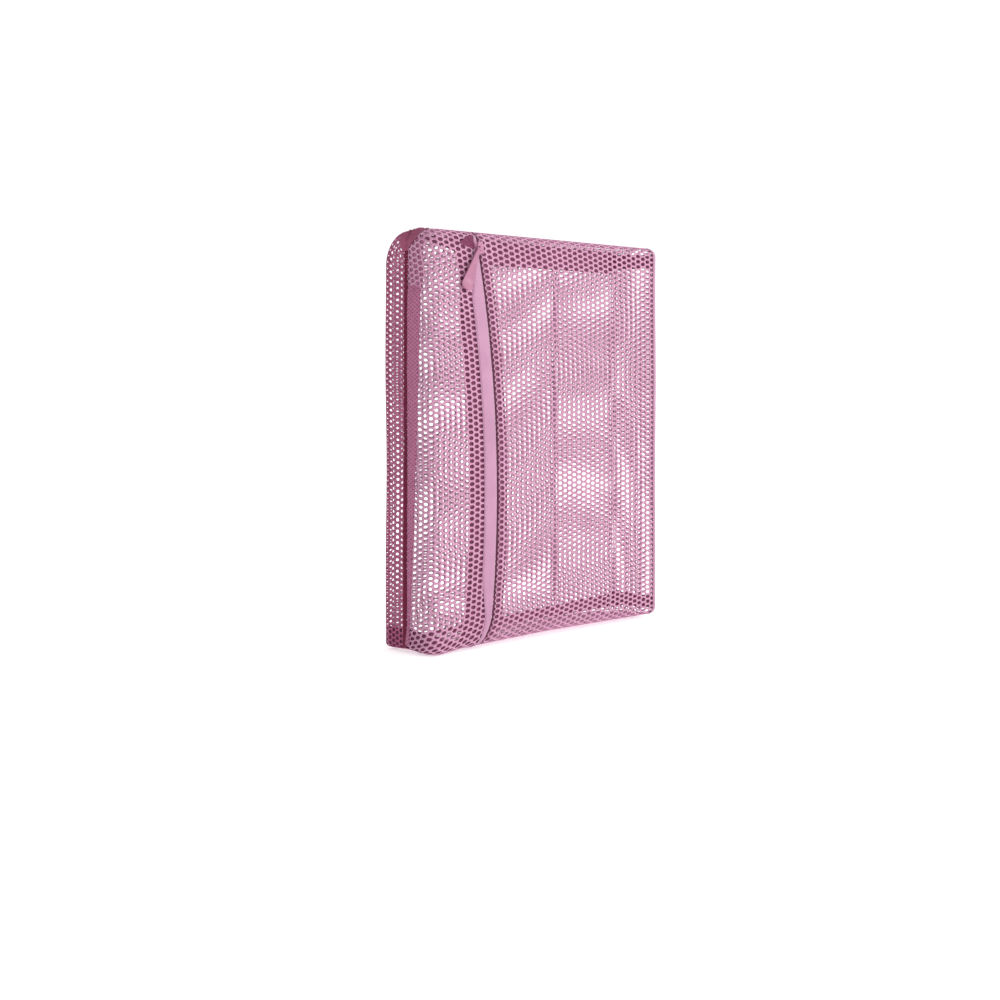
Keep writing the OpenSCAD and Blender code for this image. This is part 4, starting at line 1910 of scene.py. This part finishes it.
@dataclass
class Stitching:
    """Rows of stitches along the tape and the hems."""

    shop: Workshop
    zipper: Zip
    gap: float = 2.9 * MM
    length: float = 2.2 * MM
    radius: float = 0.17 * MM
    sides: int = 5

    def bead(self) -> Obj:
        """The shape of one stitch: a short thread that dips in at both ends."""
        steps = (-1.0, -0.6, 0.0, 0.6, 1.0)
        points = []
        for t in steps:
            arch = 0.22 * MM * (1 - t * t) - 0.1 * MM
            thin = self.radius * (0.55 if abs(t) == 1.0 else 1.0)
            for j in range(self.sides):
                a = 2 * math.pi * j / self.sides
                points.append((t * self.length / 2, thin * math.cos(a), arch + thin * math.sin(a)))
        faces = tube_faces(len(steps), self.sides, closed=False)
        mesh = mesh_from("stitch_mould", np.array(points), faces)
        return link_object("stitch_mould", facing_out(mesh))

    def build(self) -> None:
        """Builds every row."""
        mould = self.bead()
        shop, form, zipper = self.shop, self.shop.form, self.zipper
        seam = form.back_seam
        v = np.linspace(-6 * MM, 316 * MM, 150)
        edge = zipper.slit(v, Side.LEFT) - zipper.tape_width(v) + 1.6 * MM
        up = np.linspace(10 * MM, 300 * MM, 120)
        round_back = np.linspace(form.starts[6], form.starts[7], 120)
        for name, u, v, lift in (
            ("stitches_tape_outer", edge, v, 0.12 * MM),
            ("stitches_back_seam", seam + 1.7 * MM + 0 * up, up, 0.0),
            ("stitches_back_seam_near", seam - 1.7 * MM + 0 * up, up, 0.0),
            ("stitches_back_top", round_back, 306 * MM + 0 * round_back, 0.0),
        ):
            line = form.surface(u, v, lift + 0 * u)
            out = form.outward(u, v)
            row = shop.beads(name, line, out, self.gap, mould, shop.finishes.thread)
            shop.settle(row, BAG, "hem_fabric")
        bpy.data.objects.remove(mould)


@dataclass
class Studio:
    """The floor, the lights and the camera."""

    centre: Vector
    away: tuple[float, float, float] = (-0.8222, -0.8474, 0.2232)
    turn: float = -42.85
    lens: float = 49.1
    shift_y: float = -0.125
    seen_glow: float = 1.1
    room_glow: tuple[float, float] = (0.26, 1.06)
    bright_side: tuple[float, float, float] = (0.72, -0.5, 0.48)
    key_power: float = 36.0
    fill_power: float = 12.0
    floor_glow: float = 0.5
    floor_radius: float = 14.0
    floor_sides: int = 96

    def build(self) -> None:
        """Builds the studio."""
        self.floor()
        self.room()
        self.lamp("key", Vector((1.6, -2.0, 1.6)), 1.8, self.key_power)
        self.lamp("front_fill", Vector((0.3, -2.6, 0.5)), 2.0, self.fill_power)
        self.camera()
        view = bpy.context.scene.view_settings
        view.view_transform = "Standard"
        view.look = "None"

    def floor(self) -> None:
        """A wide pale floor."""
        turn = 2 * math.pi * np.arange(self.floor_sides) / self.floor_sides
        points = self.floor_radius * np.stack([np.cos(turn), np.sin(turn), 0 * turn], -1)
        mesh = mesh_from("studio_floor", points, [range(self.floor_sides)])
        material = bpy.data.materials.new("studio_floor")
        material.use_nodes = True
        graph = Graph(material.node_tree)
        shader = material.node_tree.nodes["Principled BSDF"]
        shader.inputs["Roughness"].default_value = 0.9
        shader.inputs["Specular IOR Level"].default_value = 0.1
        shader.inputs["Emission Color"].default_value = (1.0, 1.0, 1.0, 1.0)
        shader.inputs["Emission Strength"].default_value = self.floor_glow
        noise = graph.noise(graph.object_place(), 2.0, 2.0)
        tone = graph.mixed(noise, (0.93, 0.93, 0.93, 1), (0.97, 0.97, 0.97, 1))
        graph.feed(shader.inputs["Base Color"], tone)
        mesh.materials.append(material)
        link_object("studio_floor", mesh)

    def lamp(self, name: str, place: Vector, size: float, power: float) -> None:
        """A square soft lamp that faces the bag.

        Args:
            name: Its name.
            place: Where it hangs.
            size: Its side.
            power: Its power in watts.
        """
        light = bpy.data.lights.new(name, "AREA")
        light.size = size
        light.energy = power
        lamp = bpy.data.objects.new(name, light)
        lamp.location = place
        lamp.rotation_euler = (self.centre - place).to_track_quat("-Z", "Y").to_euler()
        bpy.context.scene.collection.objects.link(lamp)

    def room(self) -> None:
        """The even white room, brighter on one side."""
        world = bpy.data.worlds.new("white_room")
        world.use_nodes = True
        graph = Graph(world.node_tree)
        sky = world.node_tree.nodes["Background"]
        sky.inputs["Color"].default_value = (1.0, 1.0, 1.0, 1.0)
        seen = graph.add("ShaderNodeLightPath").outputs["Is Camera Ray"]
        way = graph.add("ShaderNodeTexCoord").outputs["Generated"]
        facing = {0: way, 1: self.bright_side}
        toward = graph.add("ShaderNodeVectorMath", facing, operation="DOT_PRODUCT")
        low, high = self.room_glow
        ramp = {0: toward.outputs["Value"], 1: -1.0, 2: 1.0, 3: low, 4: high}
        glow = graph.add("ShaderNodeMapRange", ramp).outputs[0]
        both = graph.add("ShaderNodeMix", {0: seen, 2: glow, 3: self.seen_glow})
        graph.feed(sky.inputs["Strength"], both.outputs[0])
        bpy.context.scene.world = world

    def camera(self) -> None:
        """The camera."""
        data = bpy.data.cameras.new("camera")
        data.lens = self.lens
        data.sensor_width = 36.0
        data.shift_y = self.shift_y
        data.clip_start = 0.01
        data.clip_end = 60.0
        camera = bpy.data.objects.new("camera", data)
        camera.location = self.away
        camera.rotation_euler = (math.radians(90), 0.0, math.radians(self.turn))
        bpy.context.scene.collection.objects.link(camera)
        bpy.context.scene.camera = camera


def main() -> None:
    """Builds the bag and the studio."""
    logging.basicConfig(level=logging.INFO, format="%(message)s")
    shop = Workshop(form_from_frame(), Dresser(Wardrobe()))
    folds = Folds(shop)
    zipper = Zip(shop, folds)
    Nets(shop).build(zipper.tape_width)
    folds.build()
    zipper.build()
    Stitching(shop, zipper).build()
    Slider(shop).build()
    Studio((Vector(CAD_LOW) + Vector(CAD_HIGH)) / 2).build()


if __name__ == "__main__":
    main()
